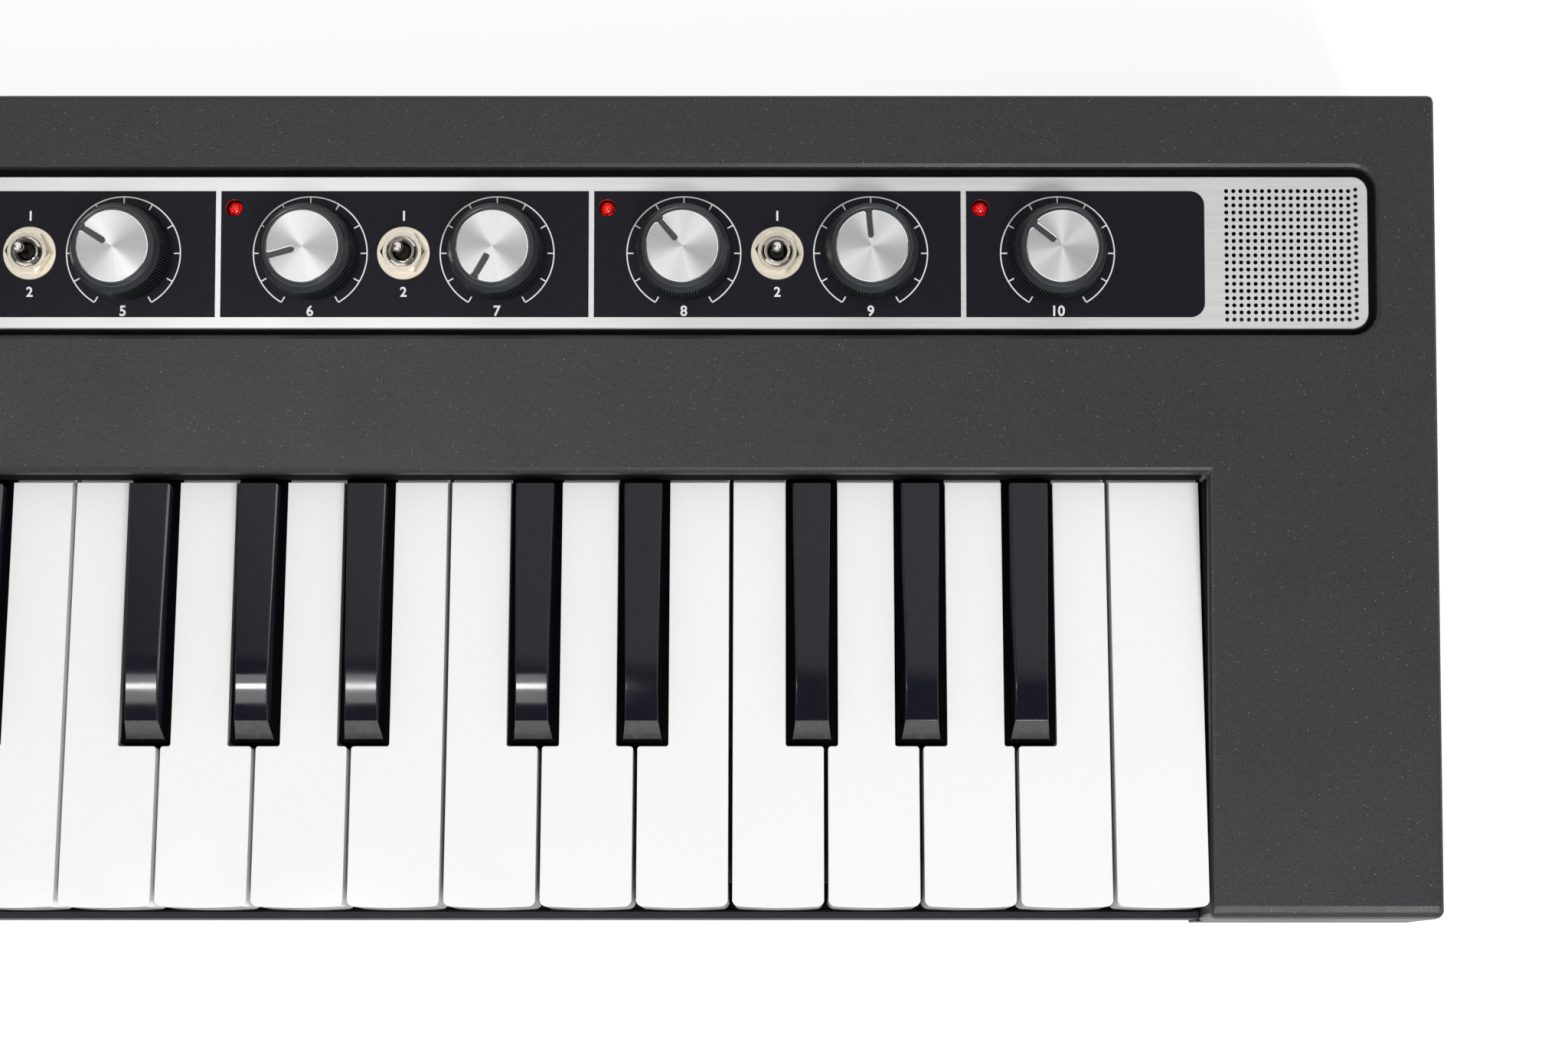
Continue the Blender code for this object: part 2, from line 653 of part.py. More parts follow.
def jack_board_bosses():
    """Places of the posts that carry the free end of the socket board."""
    right = jack_board_span()[1] - 2 * BOSS_RADIUS
    front = JACK_BOARD_FRONT_Y + 2 * BOSS_RADIUS
    middle = (BATTERY_LENGTH / 2 + right) / 2
    return [(middle, front), (right, front)]


# Keys
def white_keys():
    """Name, index and the cut edges of every white key, from left to right."""
    keys = []
    for index in range(WHITE_COUNT):
        step = WHITE_STEPS[index % 7]
        left = (index - WHITE_COUNT / 2) * KEY_PITCH
        right = left + KEY_PITCH
        before = WHITE_STEPS[(index - 1) % 7]
        left_cut = left + KEY_GAP / 2
        right_cut = right - KEY_GAP / 2
        if index > 0 and before in SHARPS:
            left_cut = left + SHARPS[before][1] + CUT_WIDTH / 2
        if index < WHITE_COUNT - 1 and step in SHARPS:
            right_cut = right + SHARPS[step][1] - CUT_WIDTH / 2
        name = "key_%s%d" % (step, index // 7 + 1)
        keys.append((name, left + KEY_GAP / 2, right - KEY_GAP / 2, left_cut, right_cut))
    return keys


def black_keys():
    """Name and centre of every black key, from left to right."""
    keys = []
    for index in range(WHITE_COUNT - 1):
        step = WHITE_STEPS[index % 7]
        if step in SHARPS:
            name, shift = SHARPS[step]
            x = (index + 1 - WHITE_COUNT / 2) * KEY_PITCH + shift
            keys.append(("key_%s%d" % (name, index // 7 + 1), x))
    return keys


def tail_profile(body):
    """Side profile of a key: the given points of its front, then the tail and its open eye."""
    tail_top = KEY_TOP - TAIL_DROP
    tail_bottom = tail_top - TAIL_HEIGHT
    slot = RAIL_RADIUS + RUN_GAP
    top_meet = PIVOT_Y - EYE_RADIUS
    eye = [(top_meet, tail_bottom), (PIVOT_Y - EYE_RADIUS * 0.4, PIVOT_Z - EYE_RADIUS),
           (TAIL_END_Y, PIVOT_Z - EYE_RADIUS), (TAIL_END_Y, PIVOT_Z - slot)]
    eye += [(PIVOT_Y + slot * cos(angle), PIVOT_Z + slot * sin(angle))
            for angle in (radians(270 - 45 * k) for k in range(5))]
    eye += [(TAIL_END_Y, PIVOT_Z + slot), (TAIL_END_Y, PIVOT_Z + EYE_RADIUS),
            (PIVOT_Y - EYE_RADIUS * 0.4, PIVOT_Z + EYE_RADIUS), (top_meet, tail_top)]
    return body + [(KEY_REAR_Y, tail_bottom)] + eye + [(KEY_REAR_Y, tail_top)]


def white_profile():
    """Side profile of a white key, counter-clockwise seen from +X."""
    lip_back = KEY_FRONT_Y + KEY_SIDE_WALL + KEY_GAP
    body = [(KEY_FRONT_Y, KEY_TOP - KEY_LIP), (lip_back, KEY_TOP - KEY_LIP), (lip_back, SIDE_BOTTOM),
            (KEY_REAR_Y, SIDE_BOTTOM)]
    return tail_profile(body) + [(KEY_REAR_Y, KEY_TOP), (KEY_FRONT_Y, KEY_TOP)]


def white_hollow(left, right, left_cut, right_cut):
    """Hollows under a white key, in front of and behind the block that presses its switch."""
    wall = KEY_SIDE_WALL
    front = KEY_FRONT_Y + wall + KEY_GAP
    block = ACTUATOR_Y - ACTUATOR_DEPTH / 2
    ceiling = KEY_TOP - KEY_TOP_WALL
    low = SIDE_BOTTOM - KEY_SIDE_WALL
    outline = [(left + wall, front), (right - wall, front), (right - wall, CUT_Y - wall),
               (right_cut - wall, CUT_Y - wall), (right_cut - wall, block), (left_cut + wall, block),
               (left_cut + wall, CUT_Y - wall), (left + wall, CUT_Y - wall)]
    outline = [point for i, point in enumerate(outline) if point != outline[i - 1]]
    rear = box(left_cut + wall, right_cut - wall, ACTUATOR_Y + ACTUATOR_DEPTH / 2, KEY_REAR_Y - wall * 2,
               low, ceiling)
    return together([prism(outline, low, ceiling), rear])


def white_key(name, left, right, left_cut, right_cut, material):
    """White key: a hollow body with a front lip, a tail and an eye that hooks on the rail."""
    outline = [(left, KEY_FRONT_Y), (right, KEY_FRONT_Y)]
    radii = [KEY_CORNER, KEY_CORNER]
    if right_cut < right:
        outline += [(right, CUT_Y), (right_cut, CUT_Y)]
        radii += [KEY_CORNER / 2, 0]
    outline += [(right_cut, TAIL_END_Y), (left_cut, TAIL_END_Y)]
    radii += [0, 0]
    if left_cut > left:
        outline += [(left_cut, CUT_Y), (left, CUT_Y)]
        radii += [0, KEY_CORNER / 2]
    low = SIDE_BOTTOM - KEY_LIP
    obj = new_object(name, side_prism(white_profile(), left - KEY_GAP, right + KEY_GAP), material)
    combine(obj, prism(rounded(outline, radii, 2), low, KEY_TOP + KEY_LIP), "INTERSECT")

    def width_of(a, b):
        return KEY_EDGE if near(a.z, KEY_TOP) and near(b.z, KEY_TOP) else 0.0

    round_edges(obj, width_of, 1)
    cut(obj, white_hollow(left, right, left_cut, right_cut))
    set_origin(obj, ((left + right) / 2, PIVOT_Y, PIVOT_Z))
    smooth(obj, 30.0)
    return obj


def black_key(name, x, material):
    """Black key: a tapered top over a wide skirt, with the same tail and eye as a white key."""
    foot_y = CUT_Y + RUN_GAP * 2
    skirt_top = KEY_TOP - SHARP_SKIRT_DROP
    base = SHARP_BASE_WIDTH / 2
    low = skirt_top - SHARP_SKIRT_DROP
    top = KEY_TOP + SHARP_RISE
    nose = foot_y + SHARP_NOSE
    rear = KEY_REAR_Y
    lower = [(x - base, foot_y, low), (x + base, foot_y, low), (x + base, rear, low), (x - base, rear, low)]
    upper = [(x - SHARP_FRONT_WIDTH / 2, nose, top), (x + SHARP_FRONT_WIDTH / 2, nose, top),
             (x + SHARP_REAR_WIDTH / 2, rear, top), (x - SHARP_REAR_WIDTH / 2, rear, top)]
    obj = new_object(name, loft([lower, upper]), material)

    def width_of(a, b):
        if near(a.z, low) and near(b.z, low):
            return 0.0
        if near(a.y, rear) and near(b.y, rear):
            return 0.0
        return SHARP_EDGE if not (near(a.z, top) and near(a.y, nose) and near(b.y, nose)) else SHARP_EDGE * 2

    round_edges(obj, width_of, 2)
    skirt = [(foot_y, SIDE_BOTTOM), (KEY_REAR_Y, SIDE_BOTTOM)]
    profile = tail_profile(skirt) + [(KEY_REAR_Y, skirt_top), (foot_y, skirt_top)]
    add(obj, side_prism(profile, x - SKIRT_WIDTH / 2, x + SKIRT_WIDTH / 2))
    half = SKIRT_WIDTH / 2 - KEY_SIDE_WALL
    ceiling = skirt_top - KEY_TOP_WALL
    block = ACTUATOR_Y - ACTUATOR_DEPTH / 2
    front = foot_y + KEY_SIDE_WALL
    cut(obj, box(x - half, x + half, front, block, SIDE_BOTTOM - KEY_SIDE_WALL, ceiling))
    set_origin(obj, (x, PIVOT_Y, PIVOT_Z))
    smooth(obj, 30.0)
    return obj


def pressed(y, z):
    """Height that a point of a key sinks to when the key is fully pressed."""
    return PIVOT_Z + (y - PIVOT_Y) * sin(KEY_TRAVEL) + (z - PIVOT_Z) * cos(KEY_TRAVEL)


def key_chassis(material):
    """Frame under the keys: pivot rail, guides, stop felt, contact board and rubber domes."""
    half = CHASSIS_HALF
    front = KEY_FRONT_Y + WHITE_FELT_BACK - RUN_GAP
    wall_top = PIVOT_Z + EYE_RADIUS
    web = RAIL_WEB / 2
    white_felt = pressed(KEY_FRONT_Y + WHITE_FELT_BACK, SIDE_BOTTOM) - TOUCH_GAP
    sharp_front = KEY_FRONT_Y + SHARP_FELT_BACK
    sharp_felt = pressed(sharp_front, SIDE_BOTTOM) - TOUCH_GAP
    board_front = ACTUATOR_Y - CONTACT_DEPTH / 2
    board_top = CHASSIS_TOP + CONTACT_BOARD
    web_y = CHASSIS_WALL_Y
    meet = PIVOT_Y + (RAIL_RADIUS ** 2 - web ** 2) ** 0.5
    swing = atan2(web, meet - PIVOT_Y)
    rail = [(PIVOT_Y + RAIL_RADIUS * cos(angle), PIVOT_Z + RAIL_RADIUS * sin(angle))
            for angle in (swing + (2 * pi - 2 * swing) * k / 10 for k in range(11))]
    profile = [(front, CHASSIS_BOTTOM), (web_y + CHASSIS_WALL, CHASSIS_BOTTOM),
               (web_y + CHASSIS_WALL, wall_top), (web_y, wall_top), (web_y, PIVOT_Z + web)]
    profile += rail
    profile += [(web_y, PIVOT_Z - web), (web_y, CHASSIS_TOP),
                (board_front + CONTACT_DEPTH, CHASSIS_TOP), (board_front + CONTACT_DEPTH, board_top),
                (board_front, board_top), (board_front, CHASSIS_TOP),
                (sharp_front + FELT_DEPTH, CHASSIS_TOP), (sharp_front + FELT_DEPTH, sharp_felt),
                (sharp_front, sharp_felt), (sharp_front, CHASSIS_TOP),
                (front + FELT_DEPTH, CHASSIS_TOP), (front + FELT_DEPTH, white_felt), (front, white_felt)]
    obj = new_object("key_chassis", side_prism(profile, -half, half), material)
    into = CHASSIS_TOP - CHASSIS_PLATE / 2
    guides = []
    domes = []
    dome_top = pressed(ACTUATOR_Y - DOME_TOP_RADIUS, SIDE_BOTTOM) - TOUCH_GAP
    dome = [(0, CHASSIS_TOP), (DOME_RADIUS, CHASSIS_TOP), (DOME_RADIUS, board_top + CONTACT_BOARD),
            (DOME_TOP_RADIUS, dome_top), (0, dome_top)]
    y = KEY_FRONT_Y + WHITE_GUIDE_BACK
    top = pressed(y, KEY_TOP - KEY_TOP_WALL) - RUN_GAP * 2
    for name, left, right, left_cut, right_cut in white_keys():
        x = (left + right) / 2
        guides.append(box(x - WHITE_GUIDE_WIDTH / 2, x + WHITE_GUIDE_WIDTH / 2, y, y + GUIDE_DEPTH, into, top))
        domes.append(moved(turned(dome, 6), (left_cut + right_cut) / 2, ACTUATOR_Y))
    y = KEY_FRONT_Y + SHARP_GUIDE_BACK
    ceiling = KEY_TOP - SHARP_SKIRT_DROP - KEY_TOP_WALL
    top = pressed(y, ceiling) - RUN_GAP * 2
    for name, x in black_keys():
        guides.append(box(x - SHARP_GUIDE_WIDTH / 2, x + SHARP_GUIDE_WIDTH / 2, y, y + GUIDE_DEPTH, into, top))
        domes.append(moved(turned(dome, 6), x, ACTUATOR_Y))
    add(obj, together(guides))
    add(obj, together(domes))
    return obj


# Panel
def control_panel(material):
    """Metal plate with its control holes."""
    outline = panel_outline(0.0, 0.0, 0.0, PLATE_CORNER)
    obj = new_object("control_panel", prism(outline, PLATE_BOTTOM_W, PLATE_TOP_W), material)
    low = PLATE_BOTTOM_W - PLATE_THICKNESS
    high = PLATE_TOP_W + PLATE_THICKNESS
    holes = [prism(circle(x, 0, SHAFT_RADIUS + RUN_GAP, 12), low, high) for x in KNOB_XS]
    holes += [prism(circle(x, 0, BUSH_RADIUS + RUN_GAP, 12), low, high) for x in TOGGLE_XS]
    holes += [prism(circle(x, LED_ROW, LED_RADIUS + TOUCH_GAP, 8), low, high) for x in LED_XS]
    reach = SLIDER_TRAVEL + SLIDER_STEM[0] / 2 + RUN_GAP
    half = SLIDER_STEM[1] / 2 + RUN_GAP
    holes.append(prism(rectangle(SLIDER_X - reach, SLIDER_X + reach, -half, half), low, high))
    cut(obj, together(holes))
    return obj


def control_board(material):
    """Board behind the plate with its potentiometers, toggle switches, slide switch and lamps."""
    obj = new_object("control_board", box(-BOARD_HALF_LENGTH, BOARD_HALF_LENGTH, -BOARD_HALF_DEPTH,
                                          BOARD_HALF_DEPTH, BOARD_BOTTOM_W, BOARD_TOP_W), material)
    sunk = BOARD_TOP_W - BOARD_THICKNESS / 2
    under_plate = PLATE_BOTTOM_W - TOUCH_GAP
    shoulder = (BOARD_TOP_W + under_plate) / 2
    bush_top = PLATE_TOP_W + BUSH_RISE
    pot = [(0, sunk), (POT_RADIUS, sunk), (POT_RADIUS, shoulder), (POT_BUSH_RADIUS, shoulder),
           (POT_BUSH_RADIUS, under_plate), (0, under_plate)]
    switch = [(0, sunk), (POT_RADIUS, sunk), (POT_RADIUS, shoulder), (BUSH_RADIUS, shoulder),
              (BUSH_RADIUS, bush_top), (0, bush_top)]
    led_top = PLATE_TOP_W + LED_RADIUS * 0.6
    lamp = [(0, sunk), (LED_RADIUS, sunk), (LED_RADIUS, led_top - LED_RADIUS * 0.8),
            (LED_RADIUS * 0.7, led_top - LED_RADIUS * 0.2), (0, led_top)]
    parts = [moved(turned(pot, 12), x) for x in KNOB_XS]
    parts += [moved(turned(switch, 12), x) for x in TOGGLE_XS]
    parts += [moved(turned(lamp, 8), x, LED_ROW) for x in LED_XS]
    slide_half = SLIDER_TRAVEL + SLIDER_STEM[0]
    parts.append(box(SLIDER_X - slide_half, SLIDER_X + slide_half, -SLIDER_CAP[1] / 2, SLIDER_CAP[1] / 2,
                     sunk, shoulder))
    add(obj, together(parts))
    washer_bottom = PLATE_TOP_W + TOUCH_GAP
    washer_top = washer_bottom + WASHER_THICKNESS
    add(obj, together([prism(circle(x, 0, WASHER_RADIUS, 20), washer_bottom, washer_top)
                       for x in TOGGLE_XS]))
    corner = NUT_FLATS / 2 / cos(radians(30))
    add(obj, together([prism(circle(x, 0, corner, 6, radians(90)), washer_top - WASHER_THICKNESS / 2,
                             washer_top + NUT_HEIGHT) for x in TOGGLE_XS]))
    bores = [prism(circle(x, 0, SHAFT_RADIUS + RUN_GAP, 12), PLATE_TOP_W - SHAFT_LENGTH - RUN_GAP, PLATE_TOP_W)
             for x in KNOB_XS]
    bores += [prism(circle(x, 0, BUSH_BORE, 12), PLATE_TOP_W + TOGGLE_PIVOT_RISE - TOGGLE_BALL_RADIUS - RUN_GAP,
                    bush_top * 2) for x in TOGGLE_XS]
    cut(obj, together(bores))
    smooth(obj)
    return obj


def knob_mesh():
    """Knob with its pointer groove and shaft, standing on the plate's upper face at w = 0."""
    base = KNOB_LIFT
    top = KNOB_LIFT + KNOB_HEIGHT
    profile = [
        (0, -SHAFT_LENGTH), (SHAFT_RADIUS, -SHAFT_LENGTH), (SHAFT_RADIUS, base), (KNOB_RADIUS, base),
        (KNOB_RADIUS * 0.95, base + KNOB_HEIGHT * 0.7), (KNOB_SHOULDER_RADIUS, top), (0, top),
    ]
    obj = new_object("knob", turned(profile, 24))
    cut(obj, box(-POINTER_WIDTH / 2, POINTER_WIDTH / 2, POINTER_START, KNOB_CAP_RADIUS,
                 top - POINTER_DEPTH, top + POINTER_DEPTH))
    smooth(obj)
    mesh = obj.data
    bpy.data.objects.remove(obj)
    return mesh


def toggle_mesh():
    """Toggle lever with its ball, turned round its pivot."""
    ball = TOGGLE_BALL_RADIUS
    neck = (ball ** 2 - TOGGLE_NECK_RADIUS ** 2) ** 0.5
    steps = 5
    start = -pi / 2
    end = atan2(neck, TOGGLE_NECK_RADIUS)
    profile = [(0, -ball)]
    profile += [(ball * cos(start + (end - start) * k / steps), ball * sin(start + (end - start) * k / steps))
                for k in range(1, steps + 1)]
    tip = TOGGLE_TIP_RADIUS
    profile.append((tip, TOGGLE_LEVER - tip))
    profile += [(tip * cos(radians(30 * k)), TOGGLE_LEVER - tip + tip * sin(radians(30 * k)))
                for k in (1, 2)]
    profile.append((0, TOGGLE_LEVER))
    obj = new_object("toggle", turned(profile, 16))
    smooth(obj, 50.0)
    mesh = obj.data
    bpy.data.objects.remove(obj)
    return mesh


def octave_slider(material, frame):
    """Slide switch cap with the stem that passes through the plate."""
    length, depth, height = SLIDER_CAP
    stem_length, stem_depth = SLIDER_STEM
    switch_top = (BOARD_TOP_W + PLATE_BOTTOM_W - TOUCH_GAP) / 2
    foot = switch_top + TOUCH_GAP - PLATE_TOP_W
    obj = new_object("octave_slider", box(-length / 2, length / 2, -depth / 2, depth / 2, KNOB_LIFT, height),
                     material)

    def width_of(a, b):
        return EDGE_ROUND / 2 if near(a.z, height) and near(b.z, height) else 0.0

    round_edges(obj, width_of, 2)
    add(obj, box(-stem_length / 2, stem_length / 2, -stem_depth / 2, stem_depth / 2, foot, height / 2))
    obj.parent = frame
    obj.location = (SLIDER_X, 0.0, PLATE_TOP_W)
    return obj


# Sockets
def jack_board(material):
    """Board at the rear with the sockets that look out of the rear wall."""
    left, right = jack_board_span()
    inner = INNER_REAR_Y - TOUCH_GAP
    obj = new_object("jack_board", box(left, right, JACK_BOARD_FRONT_Y, inner, JACK_BOARD_BOTTOM,
                                       JACK_BOARD_TOP), material)
    width, depth, height = JACK_BODY
    sunk = JACK_BOARD_TOP - BOARD_THICKNESS / 2
    top = JACK_BOARD_TOP + height
    shapes = [box(x - width / 2, x + width / 2, inner - depth, inner, sunk, top)
              for x in SOCKET_X.values()]
    add(obj, together(shapes))
    outside = REAR_Y + TOUCH_GAP
    reach = REAR_Y + SOCKET_REACH
    flush = REAR_Y + FLUSH_REACH
    inside = inner - depth / 3
    jacks = [SOCKET_X[name] for name in JACK_NAMES]
    bushes = [rod_along_y(x, SOCKET_Z, inside, reach, JACK_BUSH_RADIUS, 20) for x in jacks]
    bushes.append(rod_along_y(SOCKET_X["aux"], SOCKET_Z, inside, flush, SMALL_BUSH_RADIUS, 16))
    bushes.append(rod_along_y(SOCKET_X["direct_current"], SOCKET_Z, inside, flush, DC_RADIUS, 20))
    bushes.append(rod_along_y(SOCKET_X["control_link"], SOCKET_Z, inside, flush, LINK_RADIUS, 20))
    x = SOCKET_X["data"]
    bushes.append(box(x - DATA_WIDTH / 2, x + DATA_WIDTH / 2, inside, flush,
                      SOCKET_Z - DATA_HEIGHT / 2, SOCKET_Z + DATA_HEIGHT / 2))
    add(obj, together(bushes))
    add(obj, together([rod_along_y(x, SOCKET_Z, outside, outside + JACK_NUT_HEIGHT, JACK_NUT_RADIUS, 6)
                       for x in jacks]))
    deep = inner - depth + width / 4
    bores = [rod_along_y(x, SOCKET_Z, deep, reach + width, JACK_BORE, 16) for x in jacks]
    bores.append(rod_along_y(SOCKET_X["aux"], SOCKET_Z, deep, reach, SMALL_JACK_BORE, 12))
    bores.append(rod_along_y(SOCKET_X["control_link"], SOCKET_Z, inside, reach, LINK_BORE, 20))
    bores.append(rod_along_y(SOCKET_X["power"], SOCKET_Z, inside, reach, BUTTON_RADIUS + RUN_GAP, 20))
    dc = new_object("dc_bore", rod_along_y(SOCKET_X["direct_current"], SOCKET_Z, inside, reach, DC_BORE, 16))
    cut(dc, rod_along_y(SOCKET_X["direct_current"], SOCKET_Z, inside - width, flush - DC_PIN, DC_PIN, 8))
    half_w = DATA_WIDTH / 2 - DATA_WALL
    half_h = DATA_HEIGHT / 2 - DATA_WALL
    data = new_object("data_bore", box(x_of_data(-half_w), x_of_data(half_w), inside, reach,
                                       SOCKET_Z - half_h, SOCKET_Z + half_h))
    cut(data, box(x_of_data(-half_w / 2), x_of_data(half_w / 2), inside - width, flush - DC_PIN,
                  SOCKET_Z - DATA_WALL, SOCKET_Z + DATA_WALL))
    for bore in (dc, data):
        hollow = bmesh.new()
        hollow.from_mesh(bore.data)
        bores.append(hollow)
        bpy.data.objects.remove(bore)
    cut(obj, together(bores))
    smooth(obj)
    return obj


def x_of_data(offset):
    """Distance from the middle of the data socket, as an x value."""
    return SOCKET_X["data"] + offset


def power_button(material):
    """Push button in the rear wall."""
    inner = INNER_REAR_Y - TOUCH_GAP - JACK_BODY[1] / 3 + BUTTON_TRAVEL + TOUCH_GAP
    tip = REAR_Y + BUTTON_REACH
    profile = [(0, inner), (BUTTON_RADIUS, inner), (BUTTON_RADIUS, tip - BUTTON_RADIUS * 0.25),
               (BUTTON_RADIUS * 0.8, tip), (0, tip)]
    bm = turned(profile, 24)
    bm.transform(Matrix.Rotation(radians(-90), 4, "X"))
    obj = new_object("power_button", moved(bm, SOCKET_X["power"], 0.0, SOCKET_Z), material)
    set_origin(obj, (SOCKET_X["power"], REAR_Y, SOCKET_Z))
    smooth(obj)
    return obj


def speaker(name, x, material, frame):
    """Small loudspeaker: flange, cone, basket and magnet, facing out of the panel."""
    flange_top = SHELF_BOTTOM_W - TOUCH_GAP
    rim = SPEAKER_RADIUS
    cone = rim * 0.78
    bottom = flange_top - SPEAKER_DEPTH
    profile = [
        (0, bottom), (MAGNET_RADIUS, bottom), (MAGNET_RADIUS, bottom + SPEAKER_DEPTH * 0.4),
        (MAGNET_RADIUS * 1.08, bottom + SPEAKER_DEPTH * 0.45), (cone, flange_top - SPEAKER_DEPTH * 0.2),
        (rim, flange_top - SPEAKER_DEPTH * 0.12), (rim, flange_top), (cone * 1.05, flange_top),
        (cone * 0.9, flange_top - SPEAKER_DEPTH * 0.03), (rim * 0.28, flange_top - SPEAKER_DEPTH * 0.3),
        (rim * 0.2, flange_top - SPEAKER_DEPTH * 0.22), (0, flange_top - SPEAKER_DEPTH * 0.17),
    ]
    obj = new_object(name, turned(profile, 20), material)
    smooth(obj)
    obj.parent = frame
    obj.location = (x, 0.0, 0.0)
    return obj


def main():
    """Clears the scene and builds every piece."""
    for old in list(bpy.data.objects):
        bpy.data.objects.remove(old, do_unlink=True)

    charcoal = make_material("charcoal_case", (0.056, 0.056, 0.060), 0.55)
    lower = make_material("lower_case_black", (0.022, 0.022, 0.026), 0.6)
    aluminium = make_material("brushed_plate", (0.62, 0.61, 0.60), 0.35, 1.0)
    board = make_material("circuit_board", (0.02, 0.12, 0.05), 0.5)
    rear_board = make_material("socket_board", (0.02, 0.10, 0.06), 0.5)
    chassis = make_material("chassis_grey", (0.30, 0.30, 0.31), 0.5)
    ivory = make_material("white_key", (0.88, 0.88, 0.87), 0.18)
    ebony = make_material("black_key", (0.012, 0.012, 0.018), 0.1)
    knob_black = make_material("knob_black", (0.03, 0.03, 0.033), 0.4)
    chrome = make_material("lever_chrome", (0.75, 0.73, 0.70), 0.15, 1.0)
    slider_black = make_material("slider_black", (0.03, 0.03, 0.033), 0.5)
    button_black = make_material("button_black", (0.03, 0.03, 0.032), 0.5)
    cone = make_material("speaker_cone", (0.03, 0.03, 0.03), 0.8)

    top_case(charcoal)
    bottom_case(lower)
    key_chassis(chassis)
    for name, left, right, left_cut, right_cut in white_keys():
        white_key(name, left, right, left_cut, right_cut, ivory)
    for name, x in black_keys():
        black_key(name, x, ebony)
    jack_board(rear_board)
    power_button(button_black)

    frame = bpy.data.objects.new("panel_frame", None)
    bpy.context.collection.objects.link(frame)
    frame.matrix_world = panel_frame()
    for piece in (control_panel(aluminium), control_board(board)):
        piece.parent = frame
    knobs = knob_mesh()
    knobs.materials.append(knob_black)
    for name, x, angle in zip(KNOB_NAMES, KNOB_XS, KNOB_ANGLES):
        knob = bpy.data.objects.new("knob_" + name, knobs)
        bpy.context.collection.objects.link(knob)
        knob.parent = frame
        knob.location = (x, 0.0, PLATE_TOP_W)
        knob.rotation_euler = (0.0, 0.0, radians(-angle))
    levers = toggle_mesh()
    levers.materials.append(chrome)
    for i, x in enumerate(TOGGLE_XS):
        lever = bpy.data.objects.new("toggle_lever_%d" % (i + 1), levers)
        bpy.context.collection.objects.link(lever)
        lever.parent = frame
        lever.location = (x, 0.0, PLATE_TOP_W + TOGGLE_PIVOT_RISE)
    octave_slider(slider_black, frame)
    for name, x in SPEAKER_XS.items():
        speaker(name, x, cone, frame)


main()
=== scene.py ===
"""Looks of the compact electric piano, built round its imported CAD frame.

Lengths are millimetres in this file and become metres where a mesh is made. The panel's own
frame has x to the right, v up the slope and w out of the case top, with its origin on the knob row.
"""

from math import atan2, cos, pi, radians, sin, tan

import bmesh
import bpy
from mathutils import Matrix, Vector

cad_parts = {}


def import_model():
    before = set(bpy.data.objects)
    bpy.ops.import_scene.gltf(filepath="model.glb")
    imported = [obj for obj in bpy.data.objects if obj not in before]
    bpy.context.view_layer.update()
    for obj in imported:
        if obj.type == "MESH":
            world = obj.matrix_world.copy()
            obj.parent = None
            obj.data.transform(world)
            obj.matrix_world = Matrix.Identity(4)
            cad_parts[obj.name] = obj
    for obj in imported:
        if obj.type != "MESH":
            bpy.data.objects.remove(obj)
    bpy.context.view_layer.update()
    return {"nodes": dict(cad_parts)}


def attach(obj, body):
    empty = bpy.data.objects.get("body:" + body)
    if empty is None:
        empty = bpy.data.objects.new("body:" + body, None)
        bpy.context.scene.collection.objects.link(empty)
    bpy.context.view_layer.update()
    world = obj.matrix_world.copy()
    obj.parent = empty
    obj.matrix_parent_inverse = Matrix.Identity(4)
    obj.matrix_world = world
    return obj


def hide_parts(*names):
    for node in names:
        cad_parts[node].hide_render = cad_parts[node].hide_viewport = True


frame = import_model()

MM = 0.001

# Sizes repeated from the part
SLOPE = radians(7.0)
FRONT_Y = -87.5
REAR_Y = 82.2
FRONT_HEIGHT = 33.2
KNOB_ROW_Y = 49.1

WHITE_COUNT = 22
KEY_PITCH = 433.6 / WHITE_COUNT
KEY_GAP = 0.9
KEY_TOP = 35.7
KEY_FRONT = -85.3
KEY_REAR = 3.2
CUT_Y = -52.26
CUT_WIDTH = 10.8
SIDE_BOTTOM = KEY_TOP - 12.2
LIP_BOTTOM = KEY_TOP - 16.7
KEY_WALL = 1.4
KEY_TOP_WALL = 1.8
PIVOT_Y = 40.0
PIVOT_Z = 29.5
EYE = 3.8
RAIL = 2.4
TAIL_END = 43.4
TAIL_TOP = KEY_TOP - 3.2
TAIL_BOTTOM = TAIL_TOP - 6.0
SWITCH_Y = -21.3
SWITCH_BLOCK = 12.0
SHARP_SKIRT_TOP = KEY_TOP - 1.2
SHARPS = {"c": ("c_sharp", -1.45), "d": ("d_sharp", 1.45), "f": ("f_sharp", -2.9),
          "g": ("g_sharp", 0.0), "a": ("a_sharp", 2.9)}
STEPS = ("c", "d", "e", "f", "g", "a", "b")

PLATE_HALF = 251.0
PLATE_FRONT = -15.76
PLATE_REAR = 16.09
PLATE_CORNER = 3.2
PLATE_TOP = -0.8
PLATE_BOTTOM = -2.0
KNOBS = (("volume", 0), ("voice", -90), ("drive", -60), ("first_depth", -95), ("first_rate", -58),
         ("second_depth", -106), ("second_speed", -150), ("delay_depth", -41), ("delay_time", -6),
         ("reverb_depth", -52))
KNOB_FIRST = -163.85
KNOB_PITCH = 38.9
TOGGLE_XS = (-27.7, 50.1, 127.9)
LED_XS = (-63.15, 14.65, 92.45, 170.25)
LED_V = 9.6
SLIDER_X = -196.0
SLIDER_TRAVEL = 8.0
BOARD_TOP = -11.0
BOARD_BOTTOM = -12.6
BOARD_HALF = 208.0
BOARD_DEPTH = 19.0

